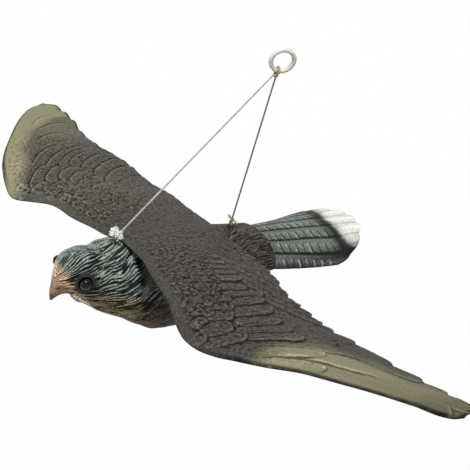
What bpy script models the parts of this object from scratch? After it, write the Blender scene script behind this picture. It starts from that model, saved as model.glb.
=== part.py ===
"""Hanging hawk decoy: a moulded bird in a glide, hung on a two-legged cord from a plastic ring.

The bird is drawn in its own frame: X to its left wing, Y to its tail, Z up from its back. That frame's
origin is the middle of the wire at the top of the front eyelet, and both eyelets lie on its Y axis. The
whole frame is then tipped nose down by DIVE, so that the bird's weight hangs right under the hitch. The
world origin is the point inside the ring where a hook bears.
"""

import math

import bmesh
import bpy
import numpy as np
from mathutils import Matrix, Vector
from mathutils.bvhtree import BVHTree

# Overall
DIVE = math.radians(20.4)
GAP = 0.0003
WALL = 0.0022
HEAD_WALL = 0.0032

# Ring and cord
RING_MEAN_RADIUS = 0.0104
RING_TUBE = 0.00215
RING_TURN = math.radians(69.0)
RING_LEAN = math.radians(18.0)
RING_ROLL = math.radians(13.0)
CORD_RADIUS = 0.0008
CORD_STEP = 0.005
HITCH_KNOT = 0.0021
HITCH_KNOT_DROP = 0.0014
HITCH_REACH = RING_TUBE + GAP + CORD_RADIUS
HITCH_BACK = 0.1353
HITCH_UP = 0.1494

# Eyelets
EYELET_RADIUS = 0.0020
EYELET_WIRE = 0.0007
EYELET_SHANK = 0.012
REAR_EYELET_BACK = 0.1326
REAR_HUMP_TOP = -0.0046

# Wings
WING_SPAN_HALF = 0.2970
WING_PEG_RADIUS = 0.003
WING_PEG_DEPTH = 0.006
WING_PEG_BITE = 0.0015
WING_PEG_X = 0.013
WING_PEG_BACK = (0.034, 0.084)
WING_MIN_THICK = 0.0012
WING_TE_SHARE = 0.55
WING_NOSE = 0.10

# Tail
TAIL_START = 0.1714
TAIL_ROOT = 0.165
TAIL_TOP = -0.0125
TAIL_LENGTH = 0.138
TAIL_ROOT_HALF = 0.0326
TAIL_END_HALF = 0.0442
TAIL_ROOT_ARCH = 18.9
TAIL_END_ARCH = 5.07
TAIL_THICK = 0.003
TAIL_FEATHERS = 6
TAIL_LOBE = 0.0035
TANG_START = 0.148
TANG_HALF = 0.024
TANG_THICK = 0.0024

# Eyes, where the aim is the left one's
EYE_AIM = (0.80, -0.53, 0.28)
EYE_FROM = (0.0, -0.0273, -0.0338)
EYE_RADIUS = 0.0055
EYE_HEIGHT = 0.0046
EYE_SEAT = 0.0014
EYE_STEM = 0.0017
EYE_STEM_LENGTH = 0.0062
EYE_WALL = 0.0026
WASHER_RADIUS = 0.0046
WASHER_THICK = 0.0012

# Body sections from the beak's tip to the rump: centre back, centre up, half width, rise above the centre,
# drop below it, and forward lean in degrees
BODY_SECTIONS = (
    (-0.0563, -0.0510, 0.0008, 0.0008, 0.0008, 82),
    (-0.0548, -0.0455, 0.0034, 0.0042, 0.0044, 72),
    (-0.0515, -0.0395, 0.0066, 0.0080, 0.0112, 56),
    (-0.0464, -0.0337, 0.0128, 0.0150, 0.0235, 38),
    (-0.0400, -0.0300, 0.0186, 0.0218, 0.0252, 18),
    (-0.0300, -0.0285, 0.0222, 0.0222, 0.0265, 5),
    (-0.0180, -0.0310, 0.0252, 0.0218, 0.0290, 0),
    (-0.0040, -0.0350, 0.0300, 0.0302, 0.0320, 0),
    (0.0120, -0.0390, 0.0345, 0.0350, 0.0338, 0),
    (0.0350, -0.0435, 0.0385, 0.0390, 0.0405, 0),
    (0.0620, -0.0450, 0.0395, 0.0400, 0.0485, 0),
    (0.0920, -0.0420, 0.0375, 0.0365, 0.0455, 0),
    (0.1200, -0.0375, 0.0345, 0.0308, 0.0320, 0),
    (0.1450, -0.0340, 0.0330, 0.0242, 0.0190, 0),
    (0.1630, -0.0345, 0.0332, 0.0230, 0.0095, 0),
    (0.1710, -0.0345, 0.0334, 0.0226, 0.0070, 0),
)
BODY_RINGS = 37
BODY_SIDES = 36
BODY_SQUARENESS = 2.15
CAVITY_RINGS = 22
CAVITY_SIDES = 20
CAVITY_FIRST = 4.2
CAVITY_LAST = 14.55
CHIN_BACK = -0.0465
PARTING = 0.74
CLEAR_OF_BODY = 0.2

# Wing stations from the middle of the back to the tip: distance out, leading edge back, its height
WING_LEADING = (
    (0.0000, 0.0050, -0.0020),
    (0.0300, 0.0030, -0.0045),
    (0.0620, -0.0070, -0.0070),
    (0.0820, -0.0095, -0.0105),
    (0.1000, -0.0140, -0.0155),
    (0.1220, -0.0185, -0.0220),
    (0.1360, -0.0150, -0.0245),
    (0.1500, -0.0105, -0.0225),
    (0.1680, -0.0030, -0.0175),
    (0.1850, 0.0080, -0.0140),
    (0.2120, 0.0320, -0.0095),
    (0.2380, 0.0560, -0.0093),
    (0.2720, 0.0910, -0.0120),
    (0.2870, 0.1070, -0.0150),
    (0.2940, 0.1180, -0.0157),
    (0.2970, 0.1275, -0.0150),
)
# The trailing edge in the same way, through the tips of its feathers
WING_TRAILING = (
    (0.0000, 0.1130, -0.0035),
    (0.0100, 0.1190, -0.0045),
    (0.0460, 0.1265, -0.0090),
    (0.0700, 0.1260, -0.0093),
    (0.1000, 0.1150, -0.0093),
    (0.1300, 0.1110, -0.0093),
    (0.1500, 0.1085, -0.0098),
    (0.1680, 0.1090, -0.0105),
    (0.1840, 0.1150, -0.0110),
    (0.2180, 0.1245, -0.0107),
    (0.2440, 0.1335, -0.0112),
    (0.2680, 0.1395, -0.0113),
    (0.2880, 0.1425, -0.0120),
    (0.2970, 0.1390, -0.0133),
)
# Each wing sits at its own angle on its pegs: lift of its front and rear edges along the span, where the
# left wing is 1 and the right wing is -1
WING_FRONT_LIFT = {
    1: ((0.0, 0.0), (0.06, 0.002), (0.085, 0.0015), (0.105, -0.001), (0.14, 0.0), (0.3, 0.0)),
    -1: (
        (0.0, -0.0005), (0.025, -0.0045), (0.05, -0.0035), (0.08, 0.0005), (0.125, -0.002), (0.2, 0.0),
        (0.25, -0.0005), (0.297, -0.0040),
    ),
}
WING_REAR_LIFT = {
    1: ((0.0, 0.0), (0.06, -0.0025), (0.11, -0.0035), (0.18, 0.0), (0.235, -0.002), (0.29, 0.0015)),
    -1: (
        (0.0, 0.0), (0.045, -0.001), (0.08, 0.0015), (0.15, 0.009), (0.175, 0.006), (0.21, -0.001),
        (0.25, -0.0015), (0.297, -0.0040),
    ),
}
# Crown of the wing above the straight line from edge to edge, and thickness, along the span
WING_CROWN = ((0.0, 0.0040), (0.04, 0.0070), (0.12, 0.0120), (0.18, 0.0085), (0.24, 0.0045), (0.3, 0.0020))
WING_THICK = ((0.0, 0.0060), (0.03, 0.0050), (0.06, 0.0040), (0.16, 0.0036), (0.3, 0.0024))
# Where one trailing feather ends and the next begins
WING_FEATHER_ENDS = (
    (0.0002, 0.014, 0.032, 0.050, 0.070, 0.088, 0.106, 0.124)
    + (0.140, 0.154, 0.167, 0.187, 0.222, 0.248, 0.271, WING_SPAN_HALF)
)
WING_LOBE = 0.0032
WING_LINES_PER_FEATHER = 3
WING_CHORD_LINES = 13


def smooth(points, at):
    """Values on a smooth curve that keeps to the rises and falls of the given (place, value) points."""
    x = np.array([p[0] for p in points], float)
    y = np.array([p[1] for p in points], float)
    step = np.diff(x)
    rise = np.diff(y) / step
    slope = np.zeros_like(y)
    slope[0], slope[-1] = rise[0], rise[-1]
    same = rise[:-1] * rise[1:] > 0
    inner = np.zeros(len(rise) - 1)
    inner[same] = 2.0 * rise[:-1][same] * rise[1:][same] / (rise[:-1][same] + rise[1:][same])
    slope[1:-1] = inner
    at = np.clip(np.asarray(at, float), x[0], x[-1])
    k = np.clip(np.searchsorted(x, at, side="right") - 1, 0, len(step) - 1)
    t = (at - x[k]) / step[k]
    h = step[k]
    keep = (1 + 2 * t) * (1 - t) ** 2 * y[k] + t * t * (3 - 2 * t) * y[k + 1]
    return keep + h * (t * (1 - t) ** 2 * slope[k] - t * t * (1 - t) * slope[k + 1])


def clear_scene():
    """Remove everything that the scene starts with."""
    for thing in list(bpy.data.objects):
        bpy.data.objects.remove(thing)


def material(name, colour, roughness, metallic=0.0):
    """One Principled material."""
    made = bpy.data.materials.new(name)
    made.use_nodes = True
    shader = made.node_tree.nodes["Principled BSDF"]
    shader.inputs["Base Color"].default_value = (*colour, 1.0)
    shader.inputs["Roughness"].default_value = roughness
    shader.inputs["Metallic"].default_value = metallic
    return made


def frame_empty(name, place, tip):
    """An empty that carries a frame, tipped about X."""
    empty = bpy.data.objects.new(name, None)
    empty.empty_display_size = 0.02
    empty.location = place
    empty.rotation_euler = (tip, 0.0, 0.0)
    bpy.context.scene.collection.objects.link(empty)
    return empty


def mesh_object(name, points, faces, look=None, parent=None, sharp=40.0):
    """A mesh object with outward faces, smooth except at edges sharper than the given angle."""
    mesh = bpy.data.meshes.new(name)
    mesh.from_pydata([tuple(p) for p in points], [], [tuple(f) for f in faces])
    work = bmesh.new()
    work.from_mesh(mesh)
    bmesh.ops.recalc_face_normals(work, faces=work.faces)
    work.to_mesh(mesh)
    work.free()
    mesh.shade_smooth()
    mesh.set_sharp_from_angle(angle=math.radians(sharp))
    made = bpy.data.objects.new(name, mesh)
    if look is not None:
        mesh.materials.append(look)
    made.parent = parent
    bpy.context.scene.collection.objects.link(made)
    return made


def boolean(target, tool, operation):
    """Cut or join with a hidden tool."""
    tool.hide_render = True
    tool.display_type = "WIRE"
    step = target.modifiers.new(tool.name, "BOOLEAN")
    step.operation = operation
    step.solver = "EXACT"
    step.object = tool


def joined(*shapes):
    """Several (points, faces) shapes as one list of each."""
    points, faces = [], []
    for some_points, some_faces in shapes:
        start = len(points)
        points += [tuple(p) for p in some_points]
        faces += [tuple(i + start for i in f) for f in some_faces]
    return points, faces


def ring_loft(rings):
    """A closed shape through rings with the same number of points, its ends filled."""
    count = len(rings[0])
    points = [tuple(p) for ring in rings for p in ring]
    faces = []
    for j in range(len(rings) - 1):
        for i in range(count):
            n = (i + 1) % count
            faces.append((j * count + i, j * count + n, (j + 1) * count + n, (j + 1) * count + i))
    faces.append(tuple(range(count - 1, -1, -1)))
    last = (len(rings) - 1) * count
    faces.append(tuple(range(last, last + count)))
    return points, faces


def across(direction):
    """Two unit vectors square to a direction."""
    axis = Vector(direction).normalized()
    side = axis.cross(Vector((0, 0, 1)) if abs(axis.z) < 0.9 else Vector((1, 0, 0))).normalized()
    return side, axis.cross(side)


def turned(profile, start, direction, sides=16):
    """A solid of revolution: (radius, distance along the axis) pairs, from end to end."""
    axis = Vector(direction).normalized()
    side, other = across(axis)
    rings = []
    for radius, along in profile:
        middle = Vector(start) + axis * along
        angles = [2 * math.pi * i / sides for i in range(sides)]
        rings.append([middle + radius * (math.cos(a) * side + math.sin(a) * other) for a in angles])
    return ring_loft(rings)


def ring_body(profile, start, direction, sides=16):
    """A solid of revolution with a hole: its profile goes round the wall once."""
    points, faces = turned(profile, start, direction, sides)
    last = (len(profile) - 1) * sides
    closing = [(last + i, last + (i + 1) % sides, (i + 1) % sides, i) for i in range(sides)]
    return points, faces[:-2] + closing


def hoop(middle, normal, radius, wire, turns=20, sides=8):
    """A closed ring of round wire."""
    side, other = across(normal)
    up = Vector(normal).normalized()
    points, faces = [], []
    for j in range(turns):
        a = 2 * math.pi * j / turns
        out = math.cos(a) * side + math.sin(a) * other
        for i in range(sides):
            b = 2 * math.pi * i / sides
            points.append(Vector(middle) + out * (radius + wire * math.cos(b)) + up * wire * math.sin(b))
    for j in range(turns):
        for i in range(sides):
            n, m = (j + 1) % turns, (i + 1) % sides
            faces.append((j * sides + i, n * sides + i, n * sides + m, j * sides + m))
    return points, faces


def ball(middle, radii, rings=8, sides=12):
    """A closed ellipsoid."""
    profile = [math.pi * (k + 0.5) / rings for k in range(rings)]
    loops = []
    for a in profile:
        loop = []
        for i in range(sides):
            b = 2 * math.pi * i / sides
            unit = Vector((math.sin(a) * math.cos(b), math.sin(a) * math.sin(b), math.cos(a)))
            loop.append(Vector(middle) + Vector([u * r for u, r in zip(unit, radii)]))
        loops.append(loop)
    return ring_loft(loops)


def body_value(column, place):
    """One column of the body's sections at a place counted in sections."""
    return float(smooth([(k, section[column]) for k, section in enumerate(BODY_SECTIONS)], place))


def body_ring(place, shrink, sides):
    """One ring of the body at a place counted in sections, moved inwards by shrink."""
    back, up, half, rise, drop, lean = (body_value(column, place) for column in range(6))
    half, rise, drop = (max(v - shrink, 0.0004) for v in (half, rise, drop))
    lean = math.radians(lean)
    ring = []
    for i in range(sides):
        a = 2 * math.pi * i / sides
        c, s = math.cos(a), math.sin(a)
        x = half * math.copysign(abs(c) ** (2 / BODY_SQUARENESS), c)
        h = (rise if s > 0 else drop) * math.copysign(abs(s) ** (2 / BODY_SQUARENESS), s)
        ring.append((x, back - h * math.sin(lean), up + h * math.cos(lean)))
    return ring


def body_outside():
    """The body's outer surface as a closed shape."""
    places = np.linspace(0, len(BODY_SECTIONS) - 1, BODY_RINGS)
    return ring_loft([body_ring(p, 0.0, BODY_SIDES) for p in places])


def body_cavity():
    """The hollow inside the body, with a thicker wall at the head."""
    rings = []
    for place in np.linspace(CAVITY_FIRST, CAVITY_LAST, CAVITY_RINGS):
        wall = float(smooth([(6.0, HEAD_WALL), (8.0, WALL)], place))
        rings.append(body_ring(place, wall, CAVITY_SIDES))
    return ring_loft(rings)


def parting_block(lower):
    """Everything below the joint between the two body shells, its top set down by the given amount."""
    chin = CHIN_BACK + lower
    line = []
    for place in np.linspace(3, len(BODY_SECTIONS) - 1, 25):
        back = body_value(0, place)
        if back > chin:
            line.append((back, body_value(1, place) - PARTING * body_value(4, place) - lower))
    line.insert(0, (chin, line[0][1]))
    line.append((CLEAR_OF_BODY, line[-1][1]))
    line += [(CLEAR_OF_BODY, -CLEAR_OF_BODY), (chin, -CLEAR_OF_BODY)]
    return ring_loft([[(x, y, z) for y, z in line] for x in (-CLEAR_OF_BODY, CLEAR_OF_BODY)])


def tree_of(shape):
    """A search tree over a shape's faces."""
    points, faces = shape
    return BVHTree.FromPolygons([Vector(p) for p in points], faces)


def height_on(tree, x, y):
    """Height of the body's back at a place, or far below where there is none."""
    hit = tree.ray_cast(Vector((x, y, 0.05)), Vector((0, 0, -1)))[0]
    return hit.z if hit is not None else -1.0


def eye_seat(tree, side):
    """The eye's aim and the place of its flat back on the recess floor."""
    aim = Vector((side * EYE_AIM[0], EYE_AIM[1], EYE_AIM[2])).normalized()
    skin = tree.ray_cast(Vector(EYE_FROM) + aim * 0.06, -aim)[0]
    return aim, skin - aim * EYE_SEAT


def wing_station(out, side):
    """Front edge back and up, rear edge back and up, crown and thickness at a distance out."""
    return (
        float(smooth([(p[0], p[1]) for p in WING_LEADING], out)),
        float(smooth([(p[0], p[2]) for p in WING_LEADING], out) + smooth(WING_FRONT_LIFT[side], out)),
        float(smooth([(p[0], p[1]) for p in WING_TRAILING], out)),
        float(smooth([(p[0], p[2]) for p in WING_TRAILING], out) + smooth(WING_REAR_LIFT[side], out)),
        float(smooth(WING_CROWN, out)),
        float(smooth(WING_THICK, out)),
    )


def wing_lines():
    """Distances out of the wing's lines, each with how far it lies across its trailing feather."""
    lines = []
    for first, last in zip(WING_FEATHER_ENDS[:-1], WING_FEATHER_ENDS[1:]):
        for k in range(WING_LINES_PER_FEATHER):
            share = k / WING_LINES_PER_FEATHER
            lines.append((first + (last - first) * share, share))
    lines.append((WING_FEATHER_ENDS[-1], 0.0))
    return lines


def wing_shape(tree, side):
    """A wing: a crowned blade with a rounded front and a lobed rear edge, its root hugging the back."""
    tops, bottoms = [], []
    for out, share in wing_lines():
        front, front_up, rear, rear_up, crown, thick = wing_station(out, side)
        rear -= WING_LOBE * (2 * share - 1) ** 2 * min(1.0, out / 0.02)
        top, bottom = [], []
        for c in np.linspace(0, 1, WING_CHORD_LINES) ** 1.25:
            back = front + (rear - front) * c
            up = front_up * (1 - c) + rear_up * c + crown * math.sin(math.pi * c**0.55)
            nose = math.sqrt(1 - (1 - min(c / WING_NOSE, 1.0)) ** 2)
            depth = thick * nose * (1 - (1 - WING_TE_SHARE) * c)
            low = max(up - depth, height_on(tree, side * out, back) + GAP * 1.5) if c > 0 else up
            top.append((side * out, back, up))
            bottom.append((side * out, back, min(low, up - WING_MIN_THICK * nose)))
        tops.append(top)
        bottoms.append(bottom)
    rings = [t + b[:0:-1] for t, b in zip(tops, bottoms)]
    return ring_loft(rings)


def tail_height(along, out):
    """Height of the tail's upper side."""
    arch = TAIL_ROOT_ARCH + (TAIL_END_ARCH - TAIL_ROOT_ARCH) * along / TAIL_LENGTH
    return TAIL_TOP - arch * out * out


def tail_shape():
    """The arched fan of tail feathers, rounded at its end."""
    straight = 0.6 * TAIL_LENGTH
    first = TAIL_START - TAIL_ROOT
    columns = []
    count = TAIL_FEATHERS * 4
    for i in range(count + 1):
        q = 2 * i / count - 1
        share = (i % 4) / 4
        lobe = TAIL_LOBE * (1 - (2 * share - 1) ** 2) if 0 < i < count else 0.0
        end = straight + (TAIL_LENGTH - TAIL_LOBE - straight) * (1 - abs(q) ** 1.82) ** 0.55 + lobe
        column = []
        for a in np.linspace(0, 1, 13):
            along = first + (end - first) * a
            half = TAIL_ROOT_HALF + (TAIL_END_HALF - TAIL_ROOT_HALF) * min(along / straight, 1.0)
            column.append((q * half, TAIL_ROOT + along, tail_height(along, q * half)))
        columns.append(column)
    under = [[(x, y, z - TAIL_THICK) for x, y, z in column] for column in columns]
    return ring_loft([t + u[::-1] for t, u in zip(columns, under)])


def tang_shape(grow):
    """The tail's tang, which goes through the slot in the rump, or its slot when grown."""
    columns = []
    for q in np.linspace(-1, 1, 9):
        out = q * (TANG_HALF + grow)
        top, low = [], []
        for back in (TANG_START - grow, TAIL_START + 0.006):
            lift = tail_height(TAIL_START - TAIL_ROOT, out) - (TAIL_THICK - TANG_THICK) / 2
            top.append((out, back, lift + grow))
            low.append((out, back, lift - TANG_THICK - grow))
        columns.append(top + low[::-1])
    return ring_loft(columns)


def eyelet_shape(back, depth):
    """A screw eye: a wire ring in the bird's middle plane on a straight shank."""
    ring = hoop((0, back, -EYELET_RADIUS), (1, 0, 0), EYELET_RADIUS, EYELET_WIRE, 24, 8)
    low = -2 * EYELET_RADIUS
    shank = turned([(EYELET_WIRE, 0), (EYELET_WIRE, depth)], (0, back, low), (0, 0, -1), 10)
    return ring, shank


def knot_shapes(back, size, ends):
    """A loop round an eyelet's wire, the knot above it and its short cord ends."""
    reach = EYELET_WIRE + GAP + CORD_RADIUS
    shapes = [hoop((0, back, 0), (0, 1, 0), reach, CORD_RADIUS, 18, 8)]
    middle = Vector((0, back, reach + 0.75 * size))
    shapes.append(ball(middle, (size, size, 0.9 * size)))
    for aim, length in ends:
        wide, narrow = 0.95 * CORD_RADIUS, 0.55 * CORD_RADIUS
        shapes.append(turned([(wide, 0), (wide, 0.7 * length), (narrow, length)], middle, aim, 8))
    return shapes


def knot_object(name, shapes, look, parent, shift):
    """The knot's shapes joined to one solid."""
    moved = [([Vector(p) + shift for p in points], faces) for points, faces in shapes]
    made = mesh_object(name, *moved[0], look, parent)
    for number, shape in enumerate(moved[1:]):
        boolean(made, mesh_object(f"{name}_tool_{number}", *shape, None, parent), "UNION")
    return made


def cord_object(name, start, end, look, parent):
    """A taut cord as a round tube with filled ends."""
    curve = bpy.data.curves.new(name, "CURVE")
    curve.dimensions = "3D"
    curve.bevel_depth = CORD_RADIUS
    curve.bevel_resolution = 2
    curve.use_fill_caps = True
    count = max(2, round((end - start).length / CORD_STEP) + 1)
    line = curve.splines.new("POLY")
    line.points.add(count - 1)
    for i, point in enumerate(line.points):
        point.co = (*start.lerp(end, i / (count - 1)), 1.0)
    curve.materials.append(look)
    made = bpy.data.objects.new(name, curve)
    made.parent = parent
    bpy.context.scene.collection.objects.link(made)
    return made


def ring_axes():
    """The direction along the ring's tube at the hitch, the one from there across it, and its normal."""
    level = Vector((math.cos(RING_TURN), math.sin(RING_TURN), 0))
    facing = Vector((math.sin(RING_TURN), -math.cos(RING_TURN), 0))
    upward = math.sin(RING_LEAN) * facing + math.cos(RING_LEAN) * Vector((0, 0, 1))
    along = math.cos(RING_ROLL) * level + math.sin(RING_ROLL) * upward
    over = math.cos(RING_ROLL) * upward - math.sin(RING_ROLL) * level
    return along, over, along.cross(over)


def build_ring(look):
    """The ring, with the hang point on its inside, across from the hitch."""
    over, normal = ring_axes()[1:]
    middle = -(RING_MEAN_RADIUS - RING_TUBE) * over
    shape = hoop(middle, normal, RING_MEAN_RADIUS, RING_TUBE, 32, 12)
    mesh_object("hanging_ring", *shape, look)


def build_hitch(look, pivot):
    """The cord's hitch: two turns round the ring's lowest stretch and the knot under it."""
    along = ring_axes()[0]
    knot = ball((0, 0, -HITCH_REACH - HITCH_KNOT_DROP), (HITCH_KNOT, HITCH_KNOT, 0.9 * HITCH_KNOT))
    shapes = [knot]
    for k in (-0.85, 0.85):
        shapes.append(hoop(along * CORD_RADIUS * k, along, HITCH_REACH, CORD_RADIUS, 20, 8))
    knot_object("ring_hitch", shapes, look, pivot, Vector((0, 0, 0)))


def build_bridle(cord_look, knot_look, bridle, hitch):
    """Both cord legs and the knots at their lower ends, in the bird's frame seen from the hitch."""
    front_ends = (
        ((-1.0, -0.35, 0.30), 0.0056),
        ((-0.55, -0.60, -0.25), 0.0046),
        ((0.25, -1.0, 0.25), 0.0052),
        ((0.95, -0.30, 0.10), 0.0050),
        ((-0.20, -0.35, 1.0), 0.0050),
    )
    rear_ends = (((1.0, 0.35, -0.15), 0.0048), ((-0.85, -0.30, 0.40), 0.0046))
    for name, back, size, ends in (
        ("front", 0.0, 0.0023, front_ends),
        ("rear", REAR_EYELET_BACK, 0.0017, rear_ends),
    ):
        look = knot_look if name == "front" else cord_look
        knot_object(f"{name}_knot", knot_shapes(back, size, ends), look, bridle, -hitch)
        knot = Vector((0, back, EYELET_WIRE + GAP + CORD_RADIUS + 0.75 * size))
        line = (hitch - knot).normalized()
        start = knot + line * (0.95 * size + GAP)
        end = hitch - line * (HITCH_REACH + HITCH_KNOT_DROP + 0.9 * HITCH_KNOT)
        cord_object(f"{name}_cord", start - hitch, end - hitch, cord_look, bridle)


def build_shells(back_look, belly_look, bird, skin):
    """The hollow body in two shells, with bosses, sockets, recesses and a slot for the other pieces."""
    outside, inside = body_outside(), body_cavity()
    hollow = mesh_object("cavity_tool", *inside, None, bird)
    back = mesh_object("back_shell", *outside, back_look, bird, 50)
    belly = mesh_object("belly_shell", *outside, belly_look, bird, 50)
    for shell in (back, belly):
        boolean(shell, hollow, "DIFFERENCE")
    boolean(back, mesh_object("upper_cut_tool", *parting_block(0.0), None, bird), "DIFFERENCE")
    boolean(belly, mesh_object("lower_keep_tool", *parting_block(GAP), None, bird), "INTERSECT")

    bosses, holes = [], []
    sockets = [(side * WING_PEG_X, y) for side in (-1, 1) for y in WING_PEG_BACK]
    for x, y in sockets:
        top = height_on(skin, x, y)
        radius = WING_PEG_RADIUS + WALL
        bosses.append(turned([(radius, 0.0012), (radius, WING_PEG_DEPTH + WALL)], (x, y, top), (0, 0, -1)))
        bore = WING_PEG_RADIUS + GAP
        holes.append(turned([(bore, -0.01), (bore, WING_PEG_DEPTH + 2 * GAP)], (x, y, top), (0, 0, -1), 14))
    for y in (0.0, REAR_EYELET_BACK):
        top = height_on(skin, 0.0, y)
        low = top + 2 * EYELET_RADIUS + EYELET_SHANK
        bosses.append(turned([(0.0040, 0.0012), (0.0040, low + WALL)], (0, y, top), (0, 0, -1)))
        bore = EYELET_WIRE + GAP
        holes.append(turned([(bore, -0.02), (bore, low + GAP)], (0, y, top), (0, 0, -1), 10))
    hump_low = height_on(skin, 0.0, REAR_EYELET_BACK) - 0.0012
    rise = REAR_HUMP_TOP - hump_low
    hump = turned(
        [(0.0075, 0), (0.0070, 0.35 * rise), (0.0050, 0.8 * rise), (0.0028, rise)],
        (0, REAR_EYELET_BACK, hump_low), (0, 0, 1), 18,
    )
    for side in (-1, 1):
        aim, seat = eye_seat(skin, side)
        inside_end = -EYE_WALL - 2 * EYE_STEM_LENGTH
        for radius, first, last in (
            (EYE_RADIUS + 2 * GAP, 0.006, 0.0),
            (EYE_STEM + GAP, 0.001, -EYE_WALL - 0.001),
            (WASHER_RADIUS + 2 * GAP, -EYE_WALL, inside_end),
        ):
            holes.append(turned([(radius, first), (radius, last)], seat, aim, 20))
    for number, shape in enumerate([*bosses, hump]):
        boolean(back, mesh_object(f"boss_tool_{number}", *shape, None, bird), "UNION")
    for number, shape in enumerate(holes):
        boolean(back, mesh_object(f"hole_tool_{number}", *shape, None, bird), "DIFFERENCE")
    boolean(back, mesh_object("tail_slot_tool", *tang_shape(GAP), None, bird), "DIFFERENCE")


def build_wings(look, bird, skin):
    """Both wings, each with two pegs under its root that reach from inside the wing to the socket."""
    for name, side in (("left_wing", 1), ("right_wing", -1)):
        shape = wing_shape(skin, side)
        wing = mesh_object(name, *shape, look, bird, 50)
        under = tree_of(shape)
        for number, y in enumerate(WING_PEG_BACK):
            x = side * WING_PEG_X
            start = under.ray_cast(Vector((x, y, -0.1)), Vector((0, 0, 1)))[0].z + WING_PEG_BITE
            length = start - height_on(skin, x, y) + WING_PEG_DEPTH
            straight = (WING_PEG_RADIUS, length - 0.001)
            profile = [(WING_PEG_RADIUS, 0), straight, (0.7 * WING_PEG_RADIUS, length)]
            peg = turned(profile, (x, y, start), (0, 0, -1), 14)
            boolean(wing, mesh_object(f"{name}_peg_tool_{number}", *peg, None, bird), "UNION")


def build_tail(look, bird):
    """The tail fan with its tang."""
    tail = mesh_object("tail_fan", *tail_shape(), look, bird, 50)
    boolean(tail, mesh_object("tang_tool", *tang_shape(0.0), None, bird), "UNION")


def build_eyes(eye_look, washer_look, bird, skin):
    """Glossy domes on stems, each held by a washer inside the head."""
    for name, side in (("left", 1), ("right", -1)):
        aim, seat = eye_seat(skin, side)
        base = seat + aim * GAP
        dome = [(EYE_RADIUS, 0.0)]
        for k in range(1, 7):
            a = k / 7 * math.pi / 2
            dome.append((EYE_RADIUS * math.cos(a), EYE_HEIGHT * math.sin(a)))
        profile = [(EYE_STEM, -EYE_STEM_LENGTH), (EYE_STEM, 0.0), *dome]
        mesh_object(f"{name}_eye", *turned(profile, base, aim, 24), eye_look, bird)
        first, last = EYE_WALL + GAP, EYE_WALL + GAP + WASHER_THICK
        hole = EYE_STEM + GAP
        washer = [(hole, -first), (WASHER_RADIUS, -first), (WASHER_RADIUS, -last), (hole, -last)]
        points, faces = ring_body(washer, seat, aim, 16)
        mesh_object(f"{name}_eye_washer", points, faces, washer_look, bird)


def build_eyelets(look, bird):
    """The two screw eyes that the cord is tied to."""
    for name, back in (("front_eyelet", 0.0), ("rear_eyelet", REAR_EYELET_BACK)):
        ring, shank = eyelet_shape(back, EYELET_SHANK)
        eyelet = mesh_object(name, *ring, look, bird)
        boolean(eyelet, mesh_object(f"{name}_tool", *shank, None, bird), "UNION")


def main():
    clear_scene()
    plumage = material("grey_brown_plumage", (0.079, 0.074, 0.063), 0.55)
    wings = material("wing_plumage", (0.100, 0.095, 0.080), 0.6)
    belly = material("dark_belly_plumage", (0.045, 0.037, 0.026), 0.55)
    tail = material("green_grey_tail", (0.135, 0.155, 0.130), 0.5)
    eye = material("black_gloss_eye", (0.004, 0.004, 0.004), 0.08)
    washer = material("clear_washer_plastic", (0.6, 0.6, 0.58), 0.4)
    wire = material("dark_eyelet_steel", (0.05, 0.045, 0.04), 0.4, 1.0)
    ring = material("milky_ring_plastic", (0.66, 0.66, 0.60), 0.3)
    twine = material("brown_twine", (0.38, 0.32, 0.22), 0.9)
    white_twine = material("pale_twine", (0.80, 0.78, 0.70), 0.9)

    hitch_world = -(2 * RING_MEAN_RADIUS - RING_TUBE) * ring_axes()[1]
    hitch_bird = Vector((0, HITCH_BACK, HITCH_UP))
    tip = Matrix.Rotation(DIVE, 3, "X")
    pivot = frame_empty("hitch_frame", hitch_world, 0.0)
    bridle = frame_empty("bridle_frame", hitch_world, DIVE)
    bird = frame_empty("bird_frame", hitch_world - tip @ hitch_bird, DIVE)

    skin = tree_of(body_outside())
    build_ring(ring)
    build_hitch(twine, pivot)
    build_bridle(twine, white_twine, bridle, hitch_bird)
    build_shells(plumage, belly, bird, skin)
    build_wings(wings, bird, skin)
    build_tail(tail, bird)
    build_eyes(eye, washer, bird, skin)
    build_eyelets(wire, bird)


main()
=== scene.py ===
"""Finishing of the hanging hawk decoy: moulded feathers, airbrushed paint, twine, ring and a white studio.

Lengths are metres. The bird's own frame has X to its left wing, Y to its tail and Z up from its back, and its
origin is the top of the front eyelet. HangFrame takes that frame to the world, where the origin is the point
inside the ring where a hook bears.
"""

import itertools
import logging
import math
from collections.abc import Sequence
from dataclasses import dataclass, field
from enum import Enum

import bmesh
import bpy
import numpy as np
from mathutils import Matrix, Vector


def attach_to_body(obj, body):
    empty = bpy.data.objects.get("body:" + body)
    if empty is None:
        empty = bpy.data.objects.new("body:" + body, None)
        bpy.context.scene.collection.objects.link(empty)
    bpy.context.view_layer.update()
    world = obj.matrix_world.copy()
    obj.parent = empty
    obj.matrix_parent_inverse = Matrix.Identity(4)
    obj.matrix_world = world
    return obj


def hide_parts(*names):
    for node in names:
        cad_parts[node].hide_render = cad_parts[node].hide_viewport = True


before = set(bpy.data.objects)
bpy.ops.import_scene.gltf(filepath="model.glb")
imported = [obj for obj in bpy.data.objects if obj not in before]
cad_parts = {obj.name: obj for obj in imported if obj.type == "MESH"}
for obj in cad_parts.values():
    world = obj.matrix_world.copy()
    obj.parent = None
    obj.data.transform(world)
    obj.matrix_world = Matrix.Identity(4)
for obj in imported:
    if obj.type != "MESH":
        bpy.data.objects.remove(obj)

LOG = logging.getLogger("hawk_decoy")

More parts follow.
